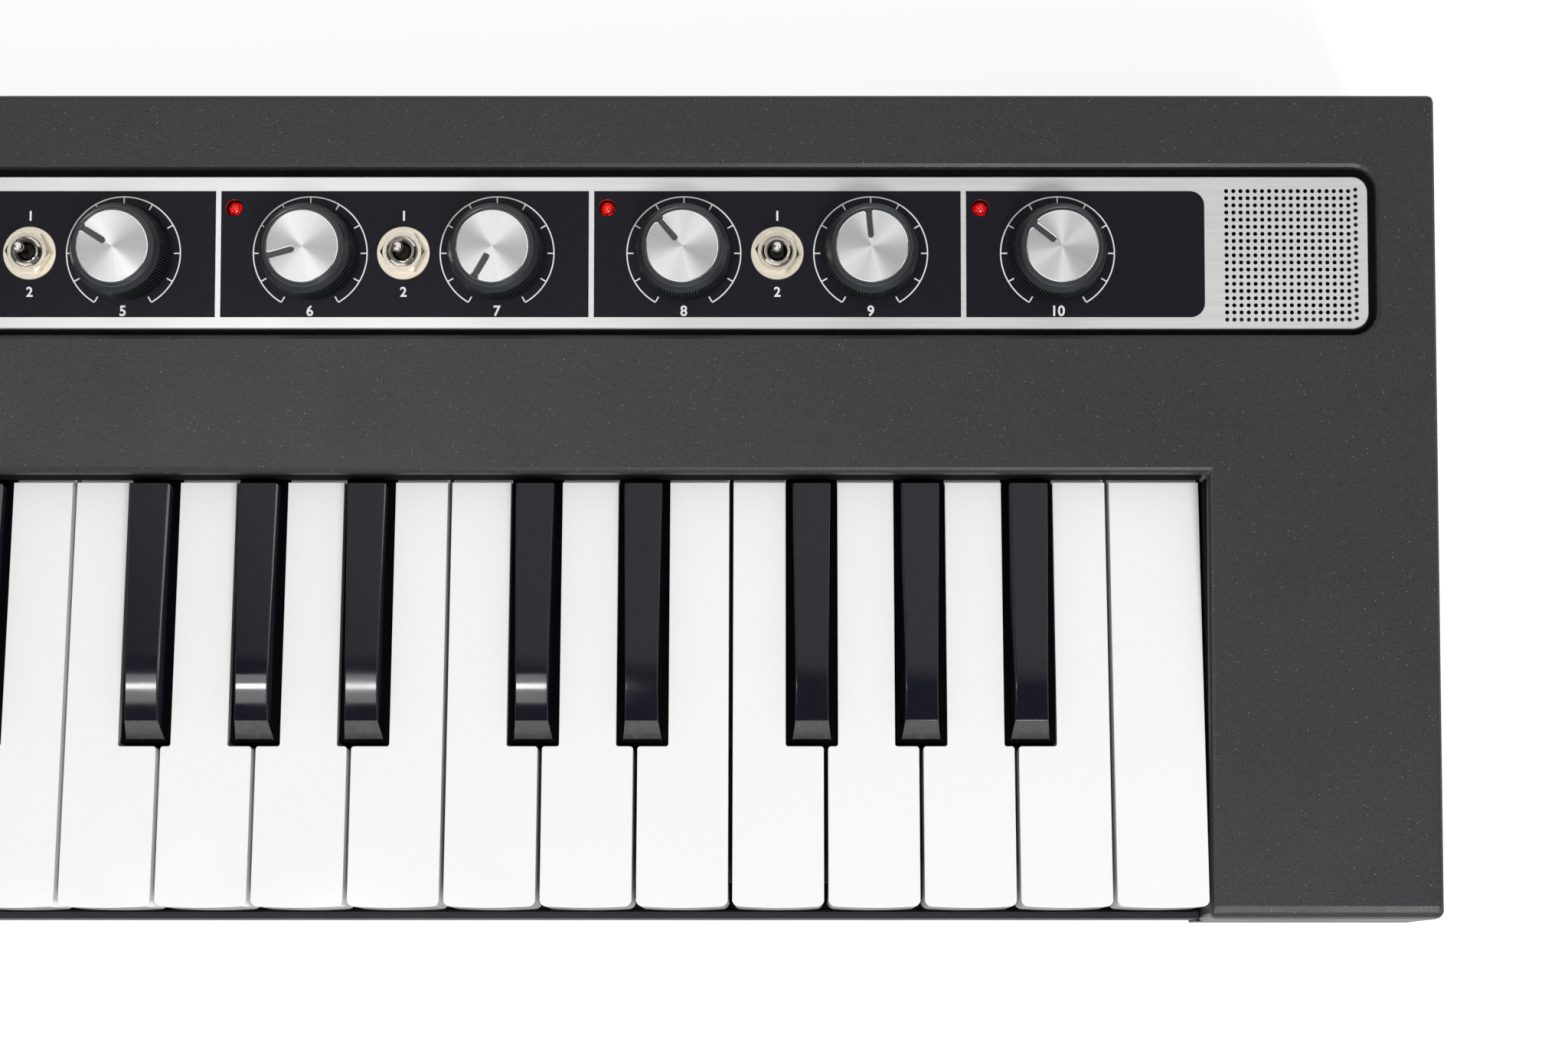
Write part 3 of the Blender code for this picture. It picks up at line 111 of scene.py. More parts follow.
SOCKET_X = {"power": 205.0, "direct_current": 176.0, "data": 147.0, "control_link": 118.0, "pedal": 89.0,
            "aux": 60.0, "line_left": 31.0, "line_right": 2.0, "phones": -27.0}
JACKS = ("pedal", "line_left", "line_right", "phones")
SOCKET_Z = 29.9
SOCKET_BOARD = (-39.0, 217.0, 49.5, 79.5, 22.3, 23.9)
SOCKET_TIP = 87.45
INNER_REAR = 79.5

KNOB_XS = [KNOB_FIRST + KNOB_PITCH * i for i in range(len(KNOBS))]
ROW_Z = FRONT_HEIGHT + (KNOB_ROW_Y - FRONT_Y) * tan(SLOPE)
PANEL = Matrix.Translation((0, KNOB_ROW_Y, ROW_Z)) @ Matrix.Rotation(SLOPE, 4, "X")
TO_REAR = Matrix.Rotation(radians(-90), 4, "X")


# Outlines
def arc(x, y, radius, start, sweep, steps):
    """Points along an arc, both ends included."""
    angles = [start + sweep * k / steps for k in range(steps + 1)]
    return [(x + radius * cos(angle), y + radius * sin(angle)) for angle in angles]


def circle(x, y, radius, count):
    """Counter-clockwise points on a circle."""
    return arc(x, y, radius, 0.0, 2 * pi, count)[:-1]


def rectangle(x0, x1, y0, y1):
    """Counter-clockwise corners of a rectangle."""
    return [(x0, y0), (x1, y0), (x1, y1), (x0, y1)]


def rounded(points, radii, steps):
    """Outline with its corners turned into arcs, where the radius is not zero."""
    outline = []
    for i, (px, py) in enumerate(points):
        radius = radii[i] if isinstance(radii, (list, tuple)) else radii
        if radius == 0:
            outline.append((px, py))
            continue
        ax, ay = points[i - 1]
        bx, by = points[(i + 1) % len(points)]
        back = Vector((ax - px, ay - py)).normalized()
        ahead = Vector((bx - px, by - py)).normalized()
        half = back.angle(ahead) / 2
        reach = radius / tan(half)
        corner = Vector((px, py))
        centre = corner + (back + ahead).normalized() * (radius / sin(half))
        first = corner + back * reach - centre
        last = corner + ahead * reach - centre
        start = atan2(first.y, first.x)
        sweep = (atan2(last.y, last.x) - start + pi) % (2 * pi) - pi
        outline += arc(centre.x, centre.y, radius, start, sweep, steps)
    return outline


# Bodies
def loft(rings):
    """Closed body through rings of points that all run the same way round."""
    bm = bmesh.new()
    layers = [[bm.verts.new(point) for point in ring] for ring in rings]
    bm.faces.new(list(reversed(layers[0])))
    bm.faces.new(layers[-1])
    join_rings(bm, layers)
    return bm


def join_rings(bm, layers, around=False):
    """Faces between neighbouring rings, and from the last to the first if they close up."""
    pairs = list(zip(layers, layers[1:]))
    if around:
        pairs.append((layers[-1], layers[0]))
    for lower, upper in pairs:
        count = max(len(lower), len(upper))
        for i in range(count):
            j = (i + 1) % count
            if len(lower) == 1:
                bm.faces.new((lower[0], upper[j], upper[i]))
            elif len(upper) == 1:
                bm.faces.new((lower[i], lower[j], upper[0]))
            else:
                bm.faces.new((lower[i], lower[j], upper[j], upper[i]))


def prism(outline, low, high):
    """Body over an outline between two heights."""
    return loft([[(x, y, z) for x, y in outline] for z in (low, high)])


def box(x0, x1, y0, y1, z0, z1):
    """Rectangular body: a cutter, a printed stroke or a member of a larger shape."""
    return prism(rectangle(x0, x1, y0, y1), z0, z1)


def soft_box(x0, x1, y0, y1, z0, z1, radius):
    """Box with rounded upright corners and upper rim."""
    steps = 3
    edge = radius * 0.6
    rings = []
    for k in range(-1, steps + 1):
        angle = pi / 2 * max(k, 0) / steps
        inset = edge * (1 - cos(angle))
        z = z0 if k < 0 else z1 - edge + edge * sin(angle)
        corners = rectangle(x0 + inset, x1 - inset, y0 + inset, y1 - inset)
        rings.append([(x, y, z) for x, y in rounded(corners, radius - inset * 0.9, steps)])
    return loft(rings)


def side_prism(profile, x0, x1):
    """Body with a side profile of (y, z) points, between two x values."""
    bm = prism(profile, x0, x1)
    bm.transform(Matrix(((0, 0, 1, 0), (1, 0, 0, 0), (0, 1, 0, 0), (0, 0, 0, 1))))
    return bm


def turned(profile, count, ring=False, shape=None):
    """Body turned round Z from (radius, height) points, as a closed ring or from axis to axis."""
    bm = bmesh.new()
    layers = []
    for radius, height in profile:
        if radius == 0:
            layers.append([bm.verts.new((0, 0, height))])
            continue
        points = circle(0, 0, radius, count)
        if shape:
            points = [(x * shape(i, radius), y * shape(i, radius)) for i, (x, y) in enumerate(points)]
        layers.append([bm.verts.new((x, y, height)) for x, y in points])
    join_rings(bm, layers, ring)
    return bm


def slab(outer, holes, low, high, chamfer=0.0):
    """Flat plate with holes, its upper outer edge chamfered."""
    bm = bmesh.new()
    centre = Vector((sum(x for x, y in outer), sum(y for x, y in outer))) / len(outer)

    def inward(point):
        offset = centre - Vector(point)
        return (point[0] + chamfer * (offset.x > 0 or -1), point[1] + chamfer * (offset.y > 0 or -1))

    upper, lower = [], []
    for outline in [outer] + holes:
        broken = chamfer and outline is outer
        top = [bm.verts.new((x, y, high)) for x, y in (map(inward, outline) if broken else outline)]
        bottom = [bm.verts.new((x, y, low)) for x, y in outline]
        layers = [bottom, top]
        if broken:
            layers.insert(1, [bm.verts.new((x, y, high - chamfer)) for x, y in outline])
        join_rings(bm, layers)
        for ring, edges in ((top, upper), (bottom, lower)):
            edges += [bm.edges.get((ring[i - 1], ring[i])) for i in range(len(ring))]
    for edges in (upper, lower):
        bmesh.ops.triangle_fill(bm, use_beauty=False, use_dissolve=False, edges=edges)
    return bm


def together(bodies):
    """One mesh of several bodies."""
    whole = bmesh.new()
    for body in bodies:
        mesh = bpy.data.meshes.new("part")
        body.to_mesh(mesh)
        body.free()
        whole.from_mesh(mesh)
        bpy.data.meshes.remove(mesh)
    return whole


def moved(bm, x=0.0, y=0.0, turn=0.0):
    """The same body, turned round Z and shifted."""
    bm.transform(Matrix.Translation((x, y, 0)) @ Matrix.Rotation(turn, 4, "Z"))
    return bm


def linked(name, data):
    """Object in the scene that shows the given data."""
    obj = bpy.data.objects.new(name, data)
    bpy.context.collection.objects.link(obj)
    return obj


def shape_object(bm):
    """Object that takes over a mesh under construction."""
    mesh = bpy.data.meshes.new("shape")
    bmesh.ops.recalc_face_normals(bm, faces=bm.faces)
    bm.to_mesh(mesh)
    bm.free()
    return linked("shape", mesh)


def remove(obj):
    """Deletes an object and its mesh."""
    bpy.data.meshes.remove(obj.data)


def evaluated(obj):
    """Body of an object with its modifiers, in place of the object."""
    bm = bmesh.new()
    bpy.context.view_layer.update()
    bm.from_object(obj, bpy.context.evaluated_depsgraph_get())
    remove(obj)
    return bm


def copied_mesh(obj):
    """New mesh of an object with its modifiers."""
    bpy.context.view_layer.update()
    return bpy.data.meshes.new_from_object(obj.evaluated_get(bpy.context.evaluated_depsgraph_get()))


def combine(bm, tool, operation):
    """Joins a body to another, cuts it away or keeps what they share."""
    obj = shape_object(bm)
    other = shape_object(tool)
    modifier = obj.modifiers.new("combine", "BOOLEAN")
    modifier.operation = operation
    modifier.solver = "EXACT"
    modifier.object = other
    result = evaluated(obj)
    remove(other)
    return result


def bevelled(bm, width_of, segments):
    """Rounds each edge by the width that a function of its two ends gives."""
    obj = shape_object(bm)
    mesh = obj.data
    widths = [width_of(*(mesh.vertices[i].co for i in edge.vertices)) for edge in mesh.edges]
    widest = max(widths)
    weights = mesh.attributes.new("bevel_weight_edge", "FLOAT", "EDGE")
    for item, width in zip(weights.data, widths):
        item.value = width / widest
    modifier = obj.modifiers.new("round", "BEVEL")
    modifier.limit_method = "WEIGHT"
    modifier.width = widest
    modifier.segments = segments
    return evaluated(obj)


def near(a, b, gap=1e-3):
    """Two lengths are the same."""
    return abs(a - b) < gap


# Pieces
def finished_mesh(name, bm, material, place=None, angle=30.0, weighted=False):
    """Mesh in metres with its material and its smooth shading."""
    if place:
        bm.transform(place)
    bm.transform(Matrix.Scale(MM, 4))
    obj = shape_object(bm)
    obj.data.shade_smooth()
    obj.data.set_sharp_from_angle(angle=radians(angle))
    if weighted:
        obj.modifiers.new("normals", "WEIGHTED_NORMAL").keep_sharp = True
        mesh = copied_mesh(obj)
        remove(obj)
    else:
        mesh = obj.data
        bpy.data.objects.remove(obj)
    mesh.name = name
    mesh.materials.append(material)
    return mesh


def put(name, mesh, body="case", place=None, stands_for=()):
    """Object with a finished mesh that rides on a body."""
    obj = linked(name, mesh)
    if place:
        shift, turn, _ = place.decompose()
        obj.matrix_world = Matrix.LocRotScale(shift * MM, turn, None)
    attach(obj, body)
    if stands_for:
        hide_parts(*stands_for)
    return obj


def piece(name, bm, material, body="case", place=None, slot=None, stands_for=(), angle=30.0,
          weighted=False):
    """Piece made at once from a body."""
    mesh = finished_mesh(name, bm, material, place, angle, weighted)
    return put(name, mesh, body, None, stands_for)


def on_panel(name, bm, material, slot="control_panel", **options):
    """Piece of the case that is placed in the panel's own frame."""
    piece(name, bm, material, place=PANEL, slot=slot, **options)


# Materials
def feed(socket, value):
    """Links an output to a socket, or sets the socket to a constant."""
    if isinstance(value, bpy.types.NodeSocket):
        socket.id_data.links.new(value, socket)
    else:
        socket.default_value = value


def node(tree, kind, *inputs, **values):
    """Shader node with its settings, its first inputs in order and its other inputs by name."""
    made = tree.nodes.new("ShaderNode" + kind)
    for key, value in values.items():
        if hasattr(made, key):
            setattr(made, key, value)
        else:
            feed(made.inputs[key.replace("_", " ")], value)
    for socket, value in zip(made.inputs, inputs):
        feed(socket, value)
    return made


def calculated(tree, operation, *inputs):
    """Result of a calculation with outputs and constants."""
    return node(tree, "Math", *inputs, operation=operation).outputs[0]


def mixed(tree, share, first, second, kind="RGBA"):
    """Value that goes from a first to a second one with a share, both colours or both numbers."""
    start, result = {"RGBA": (6, 2), "FLOAT": (2, 0)}[kind]
    mix = node(tree, "Mix", data_type=kind, Factor=share)
    feed(mix.inputs[start], first)
    feed(mix.inputs[start + 1], second)
    return mix.outputs[result]


def ramp(tree, value, stops):
    """Colour that runs through stops of position and colour."""
    made = node(tree, "ValToRGB", value)
    elements = made.color_ramp.elements
    elements.remove(elements[1])
    for index, (position, colour) in enumerate(stops):
        element = elements.new(position) if index else elements[0]
        element.position = position
        element.color = (*colour, 1.0)
    return made.outputs["Color"]


def socket_of(made, name):
    """Input of a material's Principled shader."""
    return made.node_tree.nodes["Principled BSDF"].inputs[name]


def principled(name, colour, roughness, metallic=0.0, **sockets):
    """Material with one Principled shader."""
    made = bpy.data.materials.new(name)
    made.use_nodes = True
    values = {"Base_Color": (*colour, 1.0), "Roughness": roughness, "Metallic": metallic, **sockets}
    for key, value in values.items():
        socket_of(made, key.replace("_", " ")).default_value = value
    return made


def noise(tree, scale, stretch=(1, 1, 1), detail=2.0):
    """Noise over the object's own coordinates, from 0 to 1."""
    place = node(tree, "TexCoord").outputs["Object"]
    mapping = node(tree, "Mapping", place, Scale=stretch)
    return node(tree, "TexNoise", mapping.outputs[0], Scale=scale, Detail=detail).outputs[0]


def vary_colour(made, value, spread):
    """Base colour that runs from darker to lighter with a value."""
    socket = socket_of(made, "Base Color")
    colour = socket.default_value[:3]
    darker = [c * (1 - spread) for c in colour]
    lighter = [min(c * (1 + spread), 1.0) for c in colour]
    feed(socket, ramp(made.node_tree, value, ((0.35, darker), (0.65, lighter))))


def vary_roughness(made, value, spread):
    """Roughness that changes with a value."""
    socket = socket_of(made, "Roughness")
    low, high = socket.default_value - spread, socket.default_value + spread
    scaled = node(made.node_tree, "MapRange", value, From_Min=0.3, From_Max=0.7, To_Min=low, To_Max=high)
    feed(socket, scaled.outputs[0])


def add_bump(made, value, height):
    """Relief from a value."""
    bump = node(made.node_tree, "Bump", Strength=1.0, Distance=height, Height=value)
    feed(socket_of(made, "Normal"), bump.outputs["Normal"])


def moulded(name, colour, roughness, grain=2600.0, relief=3e-5, spread=0.10, specular=0.5, **sockets):
    """Moulded plastic with a fine spark-eroded grain."""
    made = principled(name, colour, roughness, Specular_IOR_Level=specular, **sockets)
    fine = noise(made.node_tree, grain, detail=3.0)
    broad = noise(made.node_tree, 45.0, detail=4.0)
    vary_colour(made, fine, spread)
    vary_roughness(made, broad, 0.04)
    add_bump(made, fine, relief)
    return made


def add_specks(made, colour, scale=1400.0, radius=0.11, share=0.13):
    """Sparse light specks over the base colour."""
    tree = made.node_tree
    socket = socket_of(made, "Base Color")
    place = node(tree, "TexCoord").outputs["Object"]
    cells = node(tree, "TexVoronoi", Vector=place, Scale=scale).outputs
    split = node(tree, "SeparateColor", cells["Color"])
    chosen = calculated(tree, "LESS_THAN", split.outputs[0], share)
    inside = calculated(tree, "LESS_THAN", cells["Distance"], radius)
    both = calculated(tree, "MULTIPLY", chosen, inside)
    feed(socket, mixed(tree, both, socket.links[0].from_socket, (*colour, 1.0)))


def metal(name, colour, roughness, stretch=(1, 1, 1), grain=1500.0, relief=5e-7, spread=0.04,
          **sockets):
    """Metal with a fine grain, drawn out along a direction where it is brushed."""
    made = principled(name, colour, roughness, 1.0, **sockets)
    lines = noise(made.node_tree, grain, stretch, 4.0)
    vary_colour(made, lines, spread)
    vary_roughness(made, lines, 0.015)
    add_bump(made, lines, relief)
    return made


def spun_metal(name, colour, roughness):
    """Turned aluminium: fine circles round the piece's own axis that catch the light in sectors."""
    made = principled(name, colour, roughness, 1.0, Anisotropic=0.70)
    tree = made.node_tree
    place = node(tree, "TexCoord").outputs["Object"]
    flat = node(tree, "VectorMath", place, (1, 1, 0), operation="MULTIPLY").outputs[0]
    outside = node(tree, "VectorTransform", flat, vector_type="VECTOR", convert_from="OBJECT",
                   convert_to="WORLD")
    feed(socket_of(made, "Tangent"), outside.outputs[0])
    length = node(tree, "VectorMath", flat, operation="LENGTH").outputs["Value"]
    rings = node(tree, "TexNoise", noise_dimensions="1D", W=length, Scale=9000.0, Detail=3.0)
    around = node(tree, "VectorMath", flat, operation="NORMALIZE").outputs[0]
    streaks = node(tree, "TexNoise", Vector=around, Scale=5.0, Detail=7.0)
    vary_colour(made, mixed(tree, 0.6, rings.outputs[0], streaks.outputs[0], "FLOAT"), 0.055)
    return made


case_plastic = moulded("charcoal_plastic", (0.029, 0.029, 0.032), 0.40, relief=5e-5, spread=0.30,
                       specular=0.30)
add_specks(case_plastic, (0.34, 0.34, 0.34))
lower_plastic = moulded("lower_black_plastic", (0.014, 0.014, 0.017), 0.50, relief=5e-5, spread=0.25,
                        specular=0.25)
key_white = moulded("ivory_white_gloss", (0.915, 0.915, 0.91), 0.14, 900.0, 1.5e-6, 0.006)
key_black = moulded("key_black_gloss", (0.005, 0.005, 0.011), 0.07, 900.0, 1.5e-6, 0.15, specular=0.44)
# Black keys' nose facets: a lighter grey, painted reflection of the white keys in front, with a rougher
# finish.
nose_painted_reflection = moulded("key_black_satin", (0.060, 0.060, 0.063), 0.30, 900.0, 1.5e-6, 0.15)
# Black keys below the white key tops: near-black and almost unreflecting, painted shade of the gap beside
# the white keys.
key_painted_shade = moulded("key_black_matte", (0.0015, 0.0015, 0.002), 0.70, 900.0, 3e-6, 0.15, specular=0.03)
plate_metal = metal("brushed_aluminium", (0.545, 0.545, 0.542), 0.40, (0.02, 1, 1), 2600.0, 6e-7, 0.03,
                    Anisotropic=0.6)
across_brushing = node(plate_metal.node_tree, "CombineXYZ", Y=1.0)
feed(socket_of(plate_metal, "Tangent"), across_brushing.outputs[0])
print_ink = moulded("navy_black_paint", (0.0042, 0.0038, 0.0088), 0.42, 700.0, 2e-6, 0.2, specular=0.15)
white_ink = moulded("white_ink", (0.80, 0.80, 0.80), 0.5, 1500.0, 2e-6, 0.02)
knob_plastic = moulded("knob_black_plastic", (0.027, 0.031, 0.035), 0.36, 2200.0, 4e-6, 0.10)
# Deep faces of the knob ribs: near-black, painted shade in the rib valleys.
rib_valley_painted_shade = moulded("knob_rib_valley_painted_shade", (0.004, 0.005, 0.006), 0.5, 2200.0, 4e-6, 0.10, specular=0.2)
cap_metal = spun_metal("spun_aluminium", (0.55, 0.55, 0.555), 0.42)
rim_metal = metal("cap_rim_aluminium", (0.92, 0.92, 0.92), 0.15)
matte_nickel = metal("warm_matte_nickel", (0.64, 0.585, 0.49), 0.44, grain=2600.0, spread=0.02)
nickel = metal("warm_nickel", (0.76, 0.70, 0.60), 0.24, grain=2600.0, spread=0.02)
chrome = metal("polished_nickel", (0.78, 0.74, 0.70), 0.10, grain=500.0)
jack_metal = metal("jack_nickel", (0.72, 0.71, 0.69), 0.22, grain=900.0)
gold = metal("contact_gold", (0.85, 0.62, 0.25), 0.25, grain=900.0)
solder_mask = moulded("board_green", (0.012, 0.085, 0.035), 0.35, 300.0, 4e-6, 0.2)
part_black = moulded("socket_black_plastic", (0.016, 0.016, 0.017), 0.45)
chassis_plastic = moulded("chassis_grey_plastic", (0.20, 0.20, 0.205), 0.5)
cone_paper = moulded("speaker_paper", (0.004, 0.004, 0.004), 0.9, 800.0, 5e-5, 0.3, specular=0.05)
screw_steel = metal("screw_steel", (0.30, 0.30, 0.31), 0.30, grain=700.0)
# Near-black matte for thin sheets on the slot walls and in the plate's groove: painted shade.
painted_shade_matte = moulded("painted_shade_black_matte", (0.004, 0.004, 0.005), 0.95, 1500.0, 5e-5, 0.3, specular=0.05)
lamp_red = moulded("lamp_red", (0.36, 0.001, 0.001), 0.10, 600.0, 2e-6, 0.1, Coat_Weight=0.5,
                   Emission_Strength=0.25, Emission_Color=(1.0, 0.004, 0.004, 1.0))
# The lamp glows, and noise spots of stronger glow are painted glints on its dome.
glow_with_painted_glints = node(lamp_red.node_tree, "MapRange", noise(lamp_red.node_tree, 2300.0), From_Min=0.50,
               From_Max=0.66, To_Min=0.12, To_Max=1.6)
feed(socket_of(lamp_red, "Emission Strength"), glow_with_painted_glints.outputs[0])


# Case
def dress_cad_nodes():
    """Procedural materials on the CAD nodes that stay in view."""
    dressed = {"top_case": case_plastic, "bottom_case": lower_plastic, "key_chassis": chassis_plastic,
               "speaker_left": cone_paper, "speaker_right": cone_paper}
    for name, made in dressed.items():
        for entry in frame["nodes"][name].material_slots:
            entry.material = made


def felt_strip():
    """Thin near-black sheets along the rear wall and the side walls of the key slot, painted shade."""
    rear_wall = rectangle(3.42, 3.52, 37.3, 42.2)
    side_wall = [(-70.0, 32.0), (3.3, 32.0), (3.3, 42.4), (-70.0, 33.4)]
    strips = [side_prism(rear_wall, -216.6, 216.6)]
    strips += [side_prism(side_wall, x, x + 0.1) for x in (-216.92, 216.82)]
    piece("slot_painted_shade", together(strips), painted_shade_matte, slot="top_case")


# Panel
GRILLE_X = 221.49
GRILLE_V = -13.87
GRILLE_PITCH = 1.497
GRILLE_ROWS = 19
GRILLE_HOLE = 0.45
GRILLE_SHIFT = (0.30, 0.40)
CONTROL_HOLE = 3.4
LAMP_HOLE = 1.75
SLIDER_SLOT = 1.1


def plate_outline(inset=0.0):
    """Rounded outline of the control plate."""
    corners = rectangle(-PLATE_HALF + inset, PLATE_HALF - inset, PLATE_FRONT + inset, PLATE_REAR - inset)
    return rounded(corners, PLATE_CORNER - inset, 8)


def grille_holes():
    """Small round holes at the two ends of the plate, the outer columns a little higher."""
    holes = []
    for side in (-1, 1):
        for column in range(GRILLE_ROWS):
            for row in range(GRILLE_ROWS):
                x = side * (GRILLE_X + GRILLE_PITCH * column)
                v = GRILLE_V + GRILLE_PITCH * row
                if column == GRILLE_ROWS - 1:
                    v += GRILLE_SHIFT[row % 2]
                holes.append(circle(x, v, GRILLE_HOLE, 12))
    return holes


def control_holes():
    """Holes of plate and print for the knobs, switches, lamps and slider."""
    holes = [circle(x, 0, CONTROL_HOLE, 24) for x in (*KNOB_XS, *TOGGLE_XS)]
    holes += [circle(x, LED_V, LAMP_HOLE, 24) for x in LED_XS]
    reach = SLIDER_TRAVEL + 1.8
    return holes + [rectangle(SLIDER_X - reach, SLIDER_X + reach, -SLIDER_SLOT, SLIDER_SLOT)]


def plate():
    """Brushed metal plate."""
    bm = slab(plate_outline(), control_holes() + grille_holes(), PLATE_BOTTOM, PLATE_TOP, 0.15)
    on_panel("control_plate", bm, plate_metal, stands_for=["control_panel"], angle=20.0)


def gasket():
    """Near-black sheet in the groove round the plate, painted shade of the groove."""
    groove = rectangle(-PLATE_HALF - 1.3, PLATE_HALF + 1.3, PLATE_FRONT - 1.1, PLATE_REAR + 1.6)
    bm = slab(rounded(groove, 4.6, 8), [plate_outline(-0.15)], -2.25, -1.7)
    on_panel("plate_groove_painted_shade", bm, painted_shade_matte, "top_case")


PRINT_HALF = 216.9
PRINT_FRONT = -13.37
PRINT_REAR = 13.08
PRINT_CORNER = 3.0
DIVIDERS = (-143.8, -66.2, 11.45, 89.18, 166.68)
DIVIDER_WIDTH = 1.1
PRINT_TOP = PLATE_TOP + 0.04
INK_TOP = PRINT_TOP + 0.03


def print_fields():
    """Dark print in fields that are parted by strips of bare metal."""
    edges = [-PRINT_HALF]
    for x in DIVIDERS:
        edges += [x - DIVIDER_WIDTH / 2, x + DIVIDER_WIDTH / 2]
    edges.append(PRINT_HALF)
    holes = control_holes()
    fields = []
    for left, right in zip(edges[::2], edges[1::2]):
        radii = [PRINT_CORNER if near(abs(x), PRINT_HALF) else 0 for x in (left, right, right, left)]
        outline = rounded(rectangle(left, right, PRINT_FRONT, PRINT_REAR), radii, 8)
        inside = [hole for hole in holes if left < hole[0][0] < right]
        fields.append(slab(outline, inside, PLATE_TOP + 0.005, PRINT_TOP))
    on_panel("panel_print", together(fields), print_ink)


RING_RADIUS = 11.98
RING_LINE = 0.27
TICK_LENGTH = 1.5
DIGIT_HEIGHT = 0.70
SORTING = (1.0, 31.7, 1009.3)


def tick_rings():
    """Open ring round each knob with a tick at every thirty degrees."""
    start, sweep, ticks = radians(240), radians(-300), 10
    inner_radius = RING_RADIUS - RING_LINE
    half = RING_LINE / 2
    shapes = []
    for x in KNOB_XS:
        inner, outer = [arc(x, 0, radius, start, sweep, 100) for radius in (inner_radius, RING_RADIUS)]
        shapes.append(prism(inner + outer[::-1], PRINT_TOP, INK_TOP))
        for k in range(ticks + 1):
            tick = box(RING_RADIUS - TICK_LENGTH, inner_radius, -half, half, PRINT_TOP, INK_TOP)
            shapes.append(moved(tick, x, turn=start + sweep * k / ticks))
    on_panel("tick_rings", together(shapes), white_ink)


def digits(text, x, v, height):
    """Flat numeral centred on a point of the panel, sorted because an extrusion varies its order."""
    curve = bpy.data.curves.new("digits", "FONT")
    curve.body = text
    curve.align_x = "CENTER"
    curve.resolution_u = 6
    curve.offset = 0.022
    mesh = copied_mesh(linked("digits", curve))
    bpy.data.curves.remove(curve)
    bm = bmesh.new()
    bm.from_mesh(mesh)
    bpy.data.meshes.remove(mesh)
    bmesh.ops.remove_doubles(bm, verts=bm.verts, dist=1e-5)
    size = height / DIGIT_HEIGHT
    bm.transform(Matrix.Translation((x, v - height / 2, PRINT_TOP)) @ Matrix.Scale(size, 4))
    top = bmesh.ops.extrude_face_region(bm, geom=bm.faces[:])["geom"]
    bmesh.ops.translate(bm, verts=[e for e in top if isinstance(e, bmesh.types.BMVert)],
                        vec=(0, 0, INK_TOP - PRINT_TOP))
    bm.verts.sort(key=lambda vert: vert.co.dot(SORTING))
    bm.faces.sort(key=lambda face: face.calc_center_median().dot(SORTING))
    return bm


def numerals():
    """Plain numbers for the knobs and toggle switches, and the octave slider's scale."""
    shapes = [digits(str(i + 1), x, -12.0, 2.1) for i, x in enumerate(KNOB_XS)]
    for x in TOGGLE_XS:
        shapes += [digits("1", x, 7.9, 2.0), digits("2", x, -8.05, 2.0)]
    for step in range(-2, 3):
        x = SLIDER_X + step * SLIDER_TRAVEL / 2
        shapes.append(digits(str(step), x, -8.4, 1.8))
        for low, high in ((-6.4, -4.6), (4.6, 6.4)):
            shapes.append(box(x - 0.15, x + 0.15, low, high, PRINT_TOP, INK_TOP))
    on_panel("panel_numerals", together(shapes), white_ink)


# Knobs
KNOB_BASE = 0.5
KNOB_TOP = 10.0
RIBS = 100
RIB_STEPS = 4
RIB_DEPTH = 0.5
CAP_RADIUS = 7.4
SLOT_HALF_WIDTH = 0.58
SLOT_START = 2.35
SLOT_FLARE = 0.55


def knob_body():
    """Ribbed skirt, smooth shoulder, groove round the cap and the shaft below."""
    wave = (0.0, 0.45, 1.0, 0.45)
    skirt = [(9.90, KNOB_BASE + 0.1), (9.72, 4.0), (9.48, 7.1)]
    ribbed = {radius for radius, height in skirt}

    def shape(i, radius):
        return 1 - RIB_DEPTH * wave[i % RIB_STEPS] / radius if radius in ribbed else 1.0

    shaft = [(0, -8.0), (2.9, -8.0), (3.0, -7.8), (3.0, 0.7), (8.6, 0.7), (9.2, KNOB_BASE)]
    shoulder = [(9.28, 7.5), (9.12, 7.75), (8.78, 8.5), (8.52, 9.2), (8.36, 9.5), (8.14, 9.62)]
    groove = [(7.96, 9.52), (7.86, 9.25), (7.62, 9.2), (7.30, 9.25), (7.20, 9.62), (0, 9.62)]
    return turned(shaft + skirt + shoulder + groove, RIBS * RIB_STEPS, shape=shape)


def cap_outline(inset):
    """Cap seen from above with its pointer slot towards +v, moved inwards by an inset."""
    radius = CAP_RADIUS - inset
    half = SLOT_HALF_WIDTH + inset
    flare = SLOT_FLARE - inset * 0.5
    centre_x = half + flare
    centre_y = ((radius - flare) ** 2 - centre_x ** 2) ** 0.5
    meet = atan2(centre_y, centre_x)
    rim = arc(0, 0, radius, pi - meet, 2 * pi - (pi - 2 * meet), 96)
    right = arc(centre_x, centre_y, flare, meet, pi - meet, 5)[1:]
    floor_of_slot = arc(0, SLOT_START, half, 0, -pi, 8)
    return rim + right + floor_of_slot + [(-x, y) for x, y in reversed(right)]


def knob_cap():
    """Spun metal disc with a bright chamfer and a slot for a pointer."""
    chamfer = 0.16
    rings = [(0.0, 9.64), (0.0, KNOB_TOP - chamfer), (chamfer, KNOB_TOP)]
    return loft([[(x, y, z) for x, y in cap_outline(inset)] for inset, z in rings])


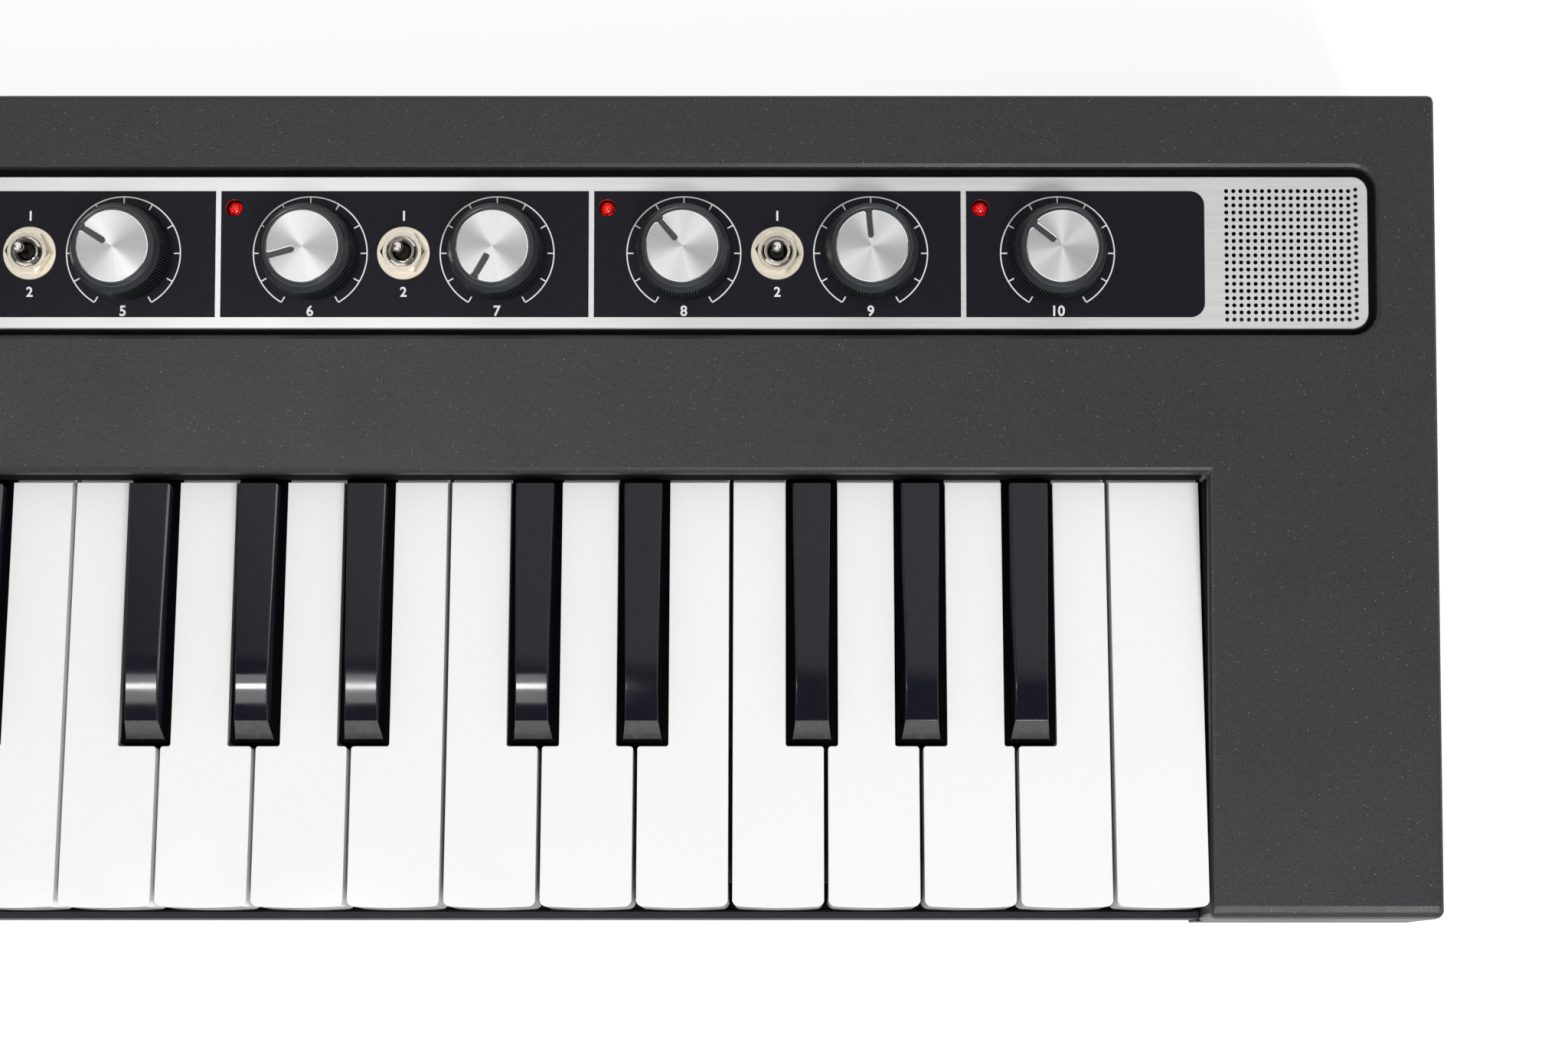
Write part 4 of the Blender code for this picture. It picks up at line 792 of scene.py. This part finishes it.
def knobs():
    """Every knob with its cap, turned to where it points."""
    body_mesh = finished_mesh("knob_body", knob_body(), knob_plastic, angle=40.0)
    # The deep faces of the ribs take the near-black: painted shade in the valleys.
    body_mesh.materials.append(rib_valley_painted_shade)
    for face in body_mesh.polygons:
        radius, height = face.center.xy.length / MM, face.center.z / MM
        skirt_radius = 9.94 - 0.065 * height
        if KNOB_BASE < height < 7.3 and 8.9 < radius < skirt_radius - RIB_DEPTH / 2:
            face.material_index = 1
    for (name, angle), x in zip(KNOBS, KNOB_XS):
        place = PANEL @ Matrix.Translation((x, 0, PLATE_TOP))
        body = "knob_" + name
        put(name + "_knob", body_mesh, body, place, [body])
        cap = moved(knob_cap(), turn=radians(-angle))
        cap_mesh = finished_mesh(name + "_cap", cap, cap_metal, angle=20.0)
        cap_mesh.materials.append(rim_metal)
        for face in cap_mesh.polygons:
            if face.normal.z < 0.9:
                face.material_index = 1
        put(name + "_cap", cap_mesh, body, place)


# Toggle switches
NUT_FLATS = 8.0
NUT_HEIGHT = 2.1
NUT_TURNS = (3.0, 0.0, 8.0)


def hex_nut(flats, bore, low, high, turn):
    """Hexagon nut with a chamfered upper side and bore."""
    count = 96
    half = flats / 2
    flat_radius = half * 1.02
    angles = [2 * pi * i / count for i in range(count)]
    radii = [half / cos((angle - turn) % (pi / 3) - pi / 6) for angle in angles]
    drop = [high - max(0.0, r - flat_radius) * 0.6 - 0.04 for r in radii]
    bm = bmesh.new()

    def ring(values, heights):
        return [bm.verts.new((r * cos(a), r * sin(a), z)) for r, a, z in zip(values, angles, heights)]

    layers = [ring(radii, [low] * count), ring(radii, drop),
              ring([min(r, flat_radius) - 0.05 for r in radii], [high] * count)]
    layers += [ring([radius] * count, [z] * count)
               for radius, z in ((bore + 0.3, high), (bore, high - 0.3), (bore, low))]
    join_rings(bm, layers, True)
    return bm


def washer(radius, bore, low, high):
    """Flat ring with slightly broken edges."""
    edge = 0.1
    profile = [(bore, low), (radius - edge, low), (radius, low + edge), (radius, high - edge),
               (radius - edge, high), (bore, high)]
    return turned(profile, 72, ring=True)


def threaded_bush(radius, bore, low, high, pitch=0.5, depth=0.16):
    """Tube with thread grooves outside and a countersunk mouth."""
    profile = [(bore, low), (radius - depth, low)]
    z = low + pitch / 2
    while z + pitch < high:
        profile += [(radius, z), (radius, z + pitch * 0.2), (radius - depth, z + pitch * 0.5),
                    (radius - depth, z + pitch * 0.7)]
        z += pitch
    profile += [(radius - depth, high - 0.15), (radius - depth - 0.15, high), (bore + 0.25, high),
                (bore, high - 0.35)]
    return turned(profile, 64, ring=True)


def lever():
    """Toggle lever with its ball, a slim neck and a round tip."""
    ball, neck, tip, length = 1.8, 0.78, 1.08, 9.0
    join = atan2((ball ** 2 - neck ** 2) ** 0.5, neck)
    profile = [(0, -ball)] + arc(0, 0, ball, -pi / 2, join + pi / 2, 12)[1:]
    profile += [(neck, 2.2), (neck + 0.04, 3.6), (neck + 0.14, 5.2), (tip - 0.06, 6.8)]
    profile += arc(0, length - tip, tip, 0, pi / 2, 10)[:-1]
    return turned(profile + [(0, length)], 40)


def toggles():
    """Washer, nut, threaded bush and lever of each toggle switch."""
    lever_mesh = finished_mesh("lever", lever(), chrome, angle=60.0)
    low = PLATE_TOP + 0.05
    nut_low = low + 0.52
    rim = PLATE_TOP + 2.9
    cup = [(0, -2.9), (2.12, -2.9), (2.12, rim), (1.98, rim), (1.98, -2.7), (0, -2.7)]
    for i, x in enumerate(TOGGLE_XS):
        place = PANEL @ Matrix.Translation((x, 0, 0))
        nut = hex_nut(NUT_FLATS, 3.02, nut_low, nut_low + NUT_HEIGHT, radians(120 - NUT_TURNS[i]))
        for part, bm, made, angle in (
                ("washer", washer(5.55, 3.1, low, low + 0.5), matte_nickel, 25.0),
                ("nut", nut, nickel, 20.0),
                ("bush", threaded_bush(3.0, 2.15, -1.6, PLATE_TOP + 3.6), chrome, 35.0),
                ("cup", turned(cup, 40), part_black, 35.0)):
            piece("toggle_%d_%s" % (i + 1, part), bm, made, place=place, slot="control_board", angle=angle)
        body = "toggle_lever_%d" % (i + 1)
        lever_place = PANEL @ Matrix.Translation((x, 0, PLATE_TOP + 1.0))
        put("toggle_%d_lever" % (i + 1), lever_mesh, body, lever_place, [body])


# Slide switch
def slider():
    """Ribbed cap of the octave switch on its stem."""
    half, depth = 3.0, 2.3
    profile = [(-half, KNOB_BASE), (-half, 2.9), (-half + 0.5, 3.5)]
    for k in range(5):
        x = -half + 0.75 + k * 0.98
        profile += [(x, 3.6), (x + 0.2, 4.15), (x + 0.5, 4.15), (x + 0.7, 3.6)]
    profile += [(half - 0.4, 3.5), (half, 2.9), (half, KNOB_BASE)]
    bm = prism(profile, -depth, depth)
    bm.transform(Matrix(((1, 0, 0, 0), (0, 0, -1, 0), (0, 1, 0, 0), (0, 0, 0, 1))))
    bm = bevelled(bm, lambda a, b: 0.25 if near(abs(a.y), depth) and near(abs(b.y), depth) else 0.0, 2)
    bm = combine(bm, box(-1.4, 1.4, -0.7, 0.7, -4.5, 1.0), "UNION")
    place = PANEL @ Matrix.Translation((SLIDER_X, 0, PLATE_TOP))
    body = "octave_slider"
    piece("octave_slider_cap", bm, part_black, body, place, body, [body])


# Parts behind the panel
def control_board():
    """Board with its potentiometers, switch bodies and lamps."""
    slot = "control_board"
    screw_xs = (-BOARD_HALF + 4.5, -68.0, 68.0, BOARD_HALF - 4.5)
    mounts = [circle(x, v, 1.2, 16) for x in screw_xs for v in (-16.6, 16.6)]
    outline = rounded(rectangle(-BOARD_HALF, BOARD_HALF, -BOARD_DEPTH, BOARD_DEPTH), 1.5, 4)
    board = slab(outline, mounts, BOARD_BOTTOM, BOARD_TOP)
    on_panel("control_circuit", board, solder_mask, slot, stands_for=["control_board"])
    can = [(3.5, BOARD_TOP), (6.0, BOARD_TOP), (6.2, BOARD_TOP + 0.3), (6.2, -6.9), (5.9, -6.6),
           (4.4, -6.6), (4.2, -6.4), (4.2, -2.5), (4.0, -2.3), (3.5, -2.3)]
    cans = [moved(turned(can, 40, ring=True), x) for x in KNOB_XS]
    on_panel("potentiometers", together(cans), jack_metal, slot)
    bodies = [soft_box(x - 6.0, x + 6.0, -4.2, 4.2, BOARD_TOP, -3.0, 0.8) for x in TOGGLE_XS]
    bodies.append(soft_box(SLIDER_X - 11, SLIDER_X + 11, -2.3, 2.3, BOARD_TOP, -6.7, 0.5))
    on_panel("switch_bodies", together(bodies), part_black, slot)
    radius = 1.5
    top = PLATE_TOP - 0.9
    dome = [(0, BOARD_TOP), (radius, BOARD_TOP), (radius, top - radius)]
    dome += arc(0, top - radius, radius, 0, pi / 2, 8)[1:-1] + [(0, top)]
    lamps_of_board = [moved(turned(dome, 32), x, LED_V) for x in LED_XS]
    on_panel("lamps", together(lamps_of_board), lamp_red, slot, angle=50.0)


# Keys
def white_keys():
    """Name and edges of every white key: left, right, and where they are cut for black keys."""
    keys = []
    for index in range(WHITE_COUNT):
        step, before = STEPS[index % 7], STEPS[(index - 1) % 7]
        left = (index - WHITE_COUNT / 2) * KEY_PITCH
        right = left + KEY_PITCH
        edges = [left + KEY_GAP / 2, right - KEY_GAP / 2]
        cuts = list(edges)
        if index > 0 and before in SHARPS:
            cuts[0] = left + SHARPS[before][1] + CUT_WIDTH / 2
        if index < WHITE_COUNT - 1 and step in SHARPS:
            cuts[1] = right + SHARPS[step][1] - CUT_WIDTH / 2
        keys.append(("key_%s%d" % (step, index // 7 + 1), *edges, *cuts))
    return keys


def black_keys():
    """Name and centre of every black key."""
    keys = []
    for index in range(WHITE_COUNT - 1):
        step = STEPS[index % 7]
        if step in SHARPS:
            name, shift = SHARPS[step]
            centre = (index + 1 - WHITE_COUNT / 2) * KEY_PITCH + shift
            keys.append(("key_%s%d" % (name, index // 7 + 1), centre))
    return keys


def tail_profile(front):
    """Side profile of a key: the given points of its front, then the tail and its open eye."""
    meet, bend = PIVOT_Y - EYE, PIVOT_Y - EYE * 0.4
    low, high = PIVOT_Z - EYE, PIVOT_Z + EYE
    bearing = [(PIVOT_Y + RAIL * cos(angle), PIVOT_Z + RAIL * sin(angle))
               for angle in (radians(270 - 18 * k) for k in range(11))]
    below = [(KEY_REAR, TAIL_BOTTOM), (meet, TAIL_BOTTOM), (bend, low), (TAIL_END, low),
             (TAIL_END, PIVOT_Z - RAIL)]
    above = [(TAIL_END, PIVOT_Z + RAIL), (TAIL_END, high), (bend, high), (meet, TAIL_TOP),
             (KEY_REAR, TAIL_TOP)]
    return front + below + bearing + above


FRONT_BOW = 0.35
WHITE_EDGE = 0.55
WHITE_CORNER = 1.3


def white_outline(left, right, left_cut, right_cut):
    """Plan of a white key with its bowed front edge and rounded corners."""
    steps = 5
    corners = [(left, KEY_FRONT, WHITE_CORNER), (right, KEY_FRONT, WHITE_CORNER)]
    if right_cut < right:
        corners += [(right, CUT_Y, 0.6), (right_cut, CUT_Y, 0.5)]
    corners += [(right_cut, TAIL_END, 0), (left_cut, TAIL_END, 0)]
    if left_cut > left:
        corners += [(left_cut, CUT_Y, 0.5), (left, CUT_Y, 0.6)]
    outline = rounded([corner[:2] for corner in corners], [corner[2] for corner in corners], steps)
    start, end = outline[steps][0], outline[steps + 1][0]
    outline[steps + 1:steps + 1] = [(start + (end - start) * k / 10, KEY_FRONT) for k in range(1, 10)]
    centre, half = (left + right) / 2, (right - left) / 2
    return [(x, y + FRONT_BOW * ((x - centre) / half) ** 2 if y < KEY_FRONT + WHITE_CORNER else y)
            for x, y in outline]


def white_key(name, left, right, left_cut, right_cut):
    """White key with soft edges, a front lip, a hollow underside and a tail that hooks on the rail."""
    lip_back = KEY_FRONT + KEY_WALL + KEY_GAP
    profile = tail_profile([(KEY_FRONT - 1, LIP_BOTTOM), (lip_back, LIP_BOTTOM), (lip_back, SIDE_BOTTOM),
                            (KEY_REAR, SIDE_BOTTOM)])
    profile += [(KEY_REAR, KEY_TOP), (KEY_FRONT - 1, KEY_TOP)]
    outline = white_outline(left, right, left_cut, right_cut)
    bm = combine(side_prism(profile, left - 1, right + 1), prism(outline, 0, KEY_TOP + 5), "INTERSECT")
    bm = bevelled(bm, lambda a, b: WHITE_EDGE if near(a.z, KEY_TOP) and near(b.z, KEY_TOP) else 0.0, 4)
    bm = combine(bm, white_hollow(left, right, left_cut, right_cut, lip_back), "DIFFERENCE")
    piece(name.replace("key_", "white_"), bm, key_white, name, None, "white_keys", [name], 35.0, True)


def white_hollow(left, right, left_cut, right_cut, lip_back):
    """Room under a white key's top, on both sides of the block that presses its switch."""
    wall, shoulder, block = KEY_WALL, CUT_Y - KEY_WALL, SWITCH_BLOCK / 2
    left, right, left_cut, right_cut = left + wall, right - wall, left_cut + wall, right_cut - wall
    front = [(left, lip_back), (right, lip_back), (right, shoulder), (right_cut, shoulder),
             (right_cut, SWITCH_Y - block), (left_cut, SWITCH_Y - block), (left_cut, shoulder),
             (left, shoulder)]
    front = [point for i, point in enumerate(front) if point != front[i - 1]]
    behind = rectangle(left_cut, right_cut, SWITCH_Y + block, KEY_REAR - 2 * wall)
    return together([prism(plan, SIDE_BOTTOM - wall, KEY_TOP - KEY_TOP_WALL) for plan in (front, behind)])


SHARP_FRONT = CUT_Y + 0.8
SHARP_LOW = SHARP_SKIRT_TOP - 1.2
SHARP_TOP = KEY_TOP + 5.2
SHARP_REAR = 2.2
SHARP_FOOT_HALF = 4.25
SHARP_TOP_HALF = 3.1
SHARP_WIDENS = 0.75
SHARP_NOSE = ((-50.95, 34.3), (-50.7, 34.9), (-47.7, 38.9))
SHARP_CREASE = -47.3
SHARP_CURVE = 13.8
SHARP_DROP = 1.6
SHARP_BEVEL = 0.2
SKIRT_HALF = 5.0


def sharp_top():
    """Top of a black key: tapered, with a curved front and a sloping nose."""
    steps = 14
    nose = list(SHARP_NOSE)
    for k in range(steps + 1):
        share = 1 - k / steps
        nose.append((SHARP_CREASE + SHARP_CURVE * (1 - share), SHARP_TOP - SHARP_DROP * share ** 2))
    tip = nose[0][0]
    profile = [(tip - 0.2, SHARP_LOW), (SHARP_REAR, SHARP_LOW), (SHARP_REAR, SHARP_TOP)] + nose[::-1]
    bm = side_prism(profile, -SHARP_FOOT_HALF, SHARP_FOOT_HALF)
    for vert in bm.verts:
        share = (vert.co.z - SHARP_LOW) / (SHARP_TOP - SHARP_LOW)
        along = (vert.co.y - tip) / (SHARP_REAR - tip)
        top = SHARP_TOP_HALF + SHARP_WIDENS * max(0.0, along)
        vert.co.x *= 1 + (top / SHARP_FOOT_HALF - 1) * share
    creases = {SHARP_CREASE, SHARP_NOSE[-1][0]}

    def width_of(a, b):
        if near(a.z, SHARP_LOW) and near(b.z, SHARP_LOW):
            return 0.0
        if near(a.y, SHARP_REAR) and near(b.y, SHARP_REAR):
            return 0.15
        if near(a.y, b.y):
            return 0.12 if round(a.y, 2) in creases else 0.0
        return SHARP_BEVEL

    return bevelled(bm, width_of, 3)


def black_key(name, x):
    """Black key: its top on a wide hollow skirt, with the same tail as a white key."""
    skirt = tail_profile([(SHARP_FRONT, SIDE_BOTTOM), (KEY_REAR, SIDE_BOTTOM)])
    skirt += [(KEY_REAR, SHARP_SKIRT_TOP), (SHARP_FRONT, SHARP_SKIRT_TOP)]
    bm = combine(sharp_top(), side_prism(skirt, -SKIRT_HALF, SKIRT_HALF), "UNION")
    half = SKIRT_HALF - KEY_WALL
    hollow = box(-half, half, SHARP_FRONT + KEY_WALL, SWITCH_Y - SWITCH_BLOCK / 2, SIDE_BOTTOM - KEY_WALL,
                 SHARP_SKIRT_TOP - KEY_TOP_WALL)
    bm = moved(combine(bm, hollow, "DIFFERENCE"), x)
    obj = piece(name.replace("key_", "black_"), bm, key_black, name, None, "black_keys", [name], 35.0, True)
    for made in (nose_painted_reflection, key_painted_shade):
        obj.data.materials.append(made)
    # Nose faces take the lighter grey, a painted reflection of the white keys.
    for face in obj.data.polygons:
        if face.center.y / MM < SHARP_CREASE and face.normal.y < -0.4 and face.normal.z > 0.4:
            face.material_index = 1
        # Faces below the white key tops take the near-black, painted shade of the gap.
        elif face.center.z / MM < KEY_TOP - 0.5:
            face.material_index = 2


# Rear sockets
def rear(name):
    """Place of a socket, with its own z out of the rear wall."""
    return Matrix.Translation((SOCKET_X[name], REAR_Y, SOCKET_Z)) @ TO_REAR


def on_rear(name, bm, material, socket, angle=30.0):
    """Piece of the socket board that sits at a socket."""
    piece(name, bm, material, place=rear(socket), slot="jack_board", angle=angle)


def sockets():
    """Socket board with its bodies, bushes, nuts and contacts."""
    x0, x1, y0, y1, z0, z1 = SOCKET_BOARD
    board = slab(rectangle(x0, x1, y0, y1), [circle(210.0, 56.5, 1.2, 12)], z0, z1)
    piece("socket_circuit", board, solder_mask, slot="jack_board", stands_for=["jack_board"])
    bodies = []
    for name, x in SOCKET_X.items():
        shell = soft_box(x - 6.5, x + 6.5, INNER_REAR - 19, INNER_REAR, z1, z1 + 12, 0.6)
        if name != "power":
            well = prism(circle(0, 0, 2.9, 32), -14.0, 1.0)
            well.transform(rear(name))
            shell = combine(shell, well, "DIFFERENCE")
        bodies.append(shell)
    piece("socket_bodies", together(bodies), part_black, slot="jack_board")
    reach = SOCKET_TIP - REAR_Y
    for name in JACKS:
        on_rear(name + "_bush", threaded_bush(4.8, 3.3, -2.5, reach, 0.75, 0.22), part_black, name, 35.0)
        on_rear(name + "_washer", washer(6.5, 4.85, 0.32, 0.7), jack_metal, name)
        on_rear(name + "_nut", hex_nut(11.2, 4.85, 0.72, 2.9, radians(30)), jack_metal, name, 20.0)
    small_sockets()
    data_socket()


def collar(bore, radius, count):
    """Ring with broken edges that stands a little out of the rear wall."""
    return turned([(bore, -2.5), (radius, -2.5), (radius, 0.2), (radius - 0.2, 0.4), (bore + 0.2, 0.4),
                   (bore, 0.2)], count, ring=True)


def small_sockets():
    """Aux ring, power inlet with its pin, and link socket with its face."""
    aux = [(1.85, -2.5), (3.4, -2.5), (3.4, 0.25), (3.25, 0.4), (2.2, 0.4), (1.85, 0.1)]
    on_rear("aux_ring", turned(aux, 40, ring=True), jack_metal, "aux")
    on_rear("inlet_ring", collar(2.8, 4.6, 48), part_black, "direct_current")
    pin = [(0, -12.0), (0.9, -12.0), (0.9, -1.6), (0.7, -1.3), (0, -1.2)]
    on_rear("inlet_pin", turned(pin, 24), jack_metal, "direct_current")
    on_rear("link_ring", collar(4.4, 6.0, 56), jack_metal, "control_link")
    turns = [radians(degrees) for degrees in (-180, -135, -90, -45, 0)]
    holes = [circle(2.9 * cos(turn), 2.9 * sin(turn), 0.55, 16) for turn in turns]
    on_rear("link_face", slab(circle(0, 0, 4.38, 48), holes, -1.9, -1.2), part_black, "control_link")


def data_socket():
    """Shell, tongue and contacts of the data socket."""
    outer = rounded(rectangle(-6.0, 6.0, -5.4, 5.4), [1.2, 1.2, 0.4, 0.4], 4)
    inner = rounded(rectangle(-4.6, 4.6, -4.0, 4.0), [1.0, 1.0, 0.3, 0.3], 4)
    on_rear("data_shell", slab(outer, [inner], -2.5, 0.4), jack_metal, "data")
    on_rear("data_tongue", soft_box(-2.7, 2.7, -1.5, 1.5, -12.0, -0.9, 0.3), part_black, "data")
    contacts = [soft_box(x - 0.35, x + 0.35, v, v + 0.12, -10.0, -1.6, 0.05) for x in (-1.3, 1.3)
                for v in (1.52, -1.64)]
    on_rear("data_contacts", together(contacts), gold, "data")


def power_button():
    """Round push button with a dished face."""
    radius, tip, edge = 3.5, 3.2, 0.6
    profile = [(0, -7.0), (radius, -7.0), (radius, tip - edge)]
    profile += arc(radius - edge, tip - edge, edge, 0, pi / 2, 4)[1:]
    profile += [(2.4, tip - 0.05), (1.6, tip - 0.2), (0.8, tip - 0.28), (0, tip - 0.3)]
    body = "power_button"
    piece("power_button_cap", turned(profile, 48), part_black, body, rear("power"), body, [body], 35.0)


# Underside
def screw(x, y):
    """Pan head with a cross recess under the case, its own z downwards."""
    head = turned([(0, 0), (2.6, 0), (2.6, 0.35), (2.2, 0.8), (1.2, 1.05), (0, 1.1)], 32)
    for turn in (0, pi / 2):
        head = combine(head, moved(box(-1.5, 1.5, -0.28, 0.28, 0.55, 2.0), turn=turn), "DIFFERENCE")
    head.transform(Matrix.Translation((x, y, 3.5)) @ Matrix.Rotation(pi, 4, "X"))
    return head


def underside():
    """Battery cover with its grip, and the screws of the lower case."""
    outer = rounded(rectangle(-74, 74, 50.0, 76.5), 2.0, 4)
    inner = rounded(rectangle(-73.6, 73.6, 50.4, 76.1), 1.6, 4)
    rings = [[(x, y, z) for x, y in outline] for outline, z in ((outer, 3.45), (outer, 3.1), (inner, 2.9))]
    piece("battery_cover", loft(rings), lower_plastic, slot="bottom_case")
    bm = together([soft_box(-9 + 3 * k, -7.6 + 3 * k, 54, 62, 0.0, 0.45, 0.5) for k in range(6)])
    bm.transform(Matrix.Translation((0, 0, 2.88)) @ Matrix.Rotation(pi, 4, "Y"))
    piece("battery_cover_grip", bm, lower_plastic, slot="bottom_case")
    screws = [screw(x, y) for x in (-252.6, 252.6) for y in (-50.0, 40.0)]
    screws += [screw(x, y) for x in (-200.0, -100.0, 0.0, 100.0, 200.0) for y in (-65.0, 20.0)]
    piece("case_screws", together(screws), screw_steel, slot="bottom_case")


# Stage
FLOOR_HALF = 6.0
FLOOR_GLOW = 0.70
SKY_SLANT = 0.6
MIRRORED_SKY = ((0.0, 1.0), (0.05, 0.7), (0.12, 0.12), (0.47, 0.16), (0.53, 0.72), (0.64, 0.95), (1.0, 1.0))
CAST_SKY = ((0.20, 0.25), (0.90, 0.43))


def floor():
    """Plain pale floor that shows the background's white and keeps the piano's shadow."""
    bm = bmesh.new()
    corners = rectangle(-FLOOR_HALF, FLOOR_HALF, -FLOOR_HALF, FLOOR_HALF)
    bm.faces.new([bm.verts.new((x, y, 0)) for x, y in corners])
    mesh = bpy.data.meshes.new("floor")
    bm.to_mesh(mesh)
    bm.free()
    made = principled("floor_white", (0.55, 0.55, 0.55), 0.9, Specular_IOR_Level=0.1,
                      Emission_Color=(1, 1, 1, 1))
    tree = made.node_tree
    ray = node(tree, "LightPath").outputs
    seen = calculated(tree, "MAXIMUM", ray["Is Camera Ray"], ray["Is Glossy Ray"])
    seen = calculated(tree, "MAXIMUM", seen, ray["Is Transmission Ray"])
    glow = calculated(tree, "MULTIPLY", seen, FLOOR_GLOW)
    feed(socket_of(made, "Emission Strength"), glow)
    mesh.materials.append(made)
    obj = linked("floor", mesh)
    obj.location.z = -0.0002


def sky_ramp(tree, value, stops):
    """Grey that runs through stops of value and brightness."""
    return ramp(tree, value, [(position, (grey, grey, grey)) for position, grey in stops])


def world():
    """White surroundings, with a bright rear half in reflections and light mainly from above."""
    made = bpy.data.worlds.new("studio")
    bpy.context.scene.world = made
    made.use_nodes = True
    tree = made.node_tree
    background = tree.nodes["Background"]
    place = node(tree, "TexCoord").outputs["Generated"]
    axes = node(tree, "SeparateXYZ", place).outputs
    slanted = calculated(tree, "MULTIPLY_ADD", axes["X"], SKY_SLANT, axes["Y"])
    mirrored = sky_ramp(tree, calculated(tree, "MULTIPLY_ADD", slanted, 0.5, 0.5), MIRRORED_SKY)
    cast = sky_ramp(tree, axes["Z"], CAST_SKY)
    ray = node(tree, "LightPath").outputs
    direct = calculated(tree, "MAXIMUM", ray["Is Camera Ray"], ray["Is Transmission Ray"])
    indirect = mixed(tree, ray["Is Glossy Ray"], cast, mirrored)
    feed(background.inputs["Color"], mixed(tree, direct, indirect, (1, 1, 1, 1)))
    background.inputs["Strength"].default_value = 1.0


def lamp(name, place, target, size, power):
    """Soft rectangular lamp that looks at a point; lengths in metres."""
    data = bpy.data.lights.new(name, "AREA")
    data.shape = "RECTANGLE"
    data.size, data.size_y = size
    data.energy = power
    obj = linked(name, data)
    obj.location = place
    obj.rotation_euler = (Vector(place) - Vector(target)).to_track_quat("Z", "Y").to_euler()


def lamps():
    """A long soft box above on the left with a bright tube below it, and a soft box in front."""
    left = (-0.275, -0.27, 0.04)
    lamp("soft_box_left", (-0.275, -0.23, 1.44), left, (0.51, 0.30), 2.0)
    lamp("tube_left", (-0.275, -0.20, 1.42), left, (0.51, 0.050), 2.3)
    lamp("soft_box_front", (0.45, -1.05, 1.20), (0.13, 0.0, 0.04), (0.45, 0.35), 16.0)


def camera():
    """Camera at the photograph's viewing angle, in metres and radians."""
    data = bpy.data.cameras.new("camera")
    data.sensor_width = 36.0
    data.lens = 60.63
    data.clip_start = 0.01
    obj = linked("camera", data)
    obj.location = (0.1293, -0.1025, 0.5808)
    obj.rotation_euler = (0.1764, 0.0, 0.0)
    bpy.context.scene.camera = obj


def build():
    """Every piece, then the stage."""
    for make in (dress_cad_nodes, felt_strip, plate, gasket, print_fields, tick_rings, numerals, knobs,
                 toggles, slider, control_board):
        make()
    for key in white_keys():
        white_key(*key)
    for name, x in black_keys():
        black_key(name, x)
    for make in (sockets, power_button, underside, floor, world, lamps, camera):
        make()
    bpy.context.scene.view_settings.view_transform = "Standard"


build()
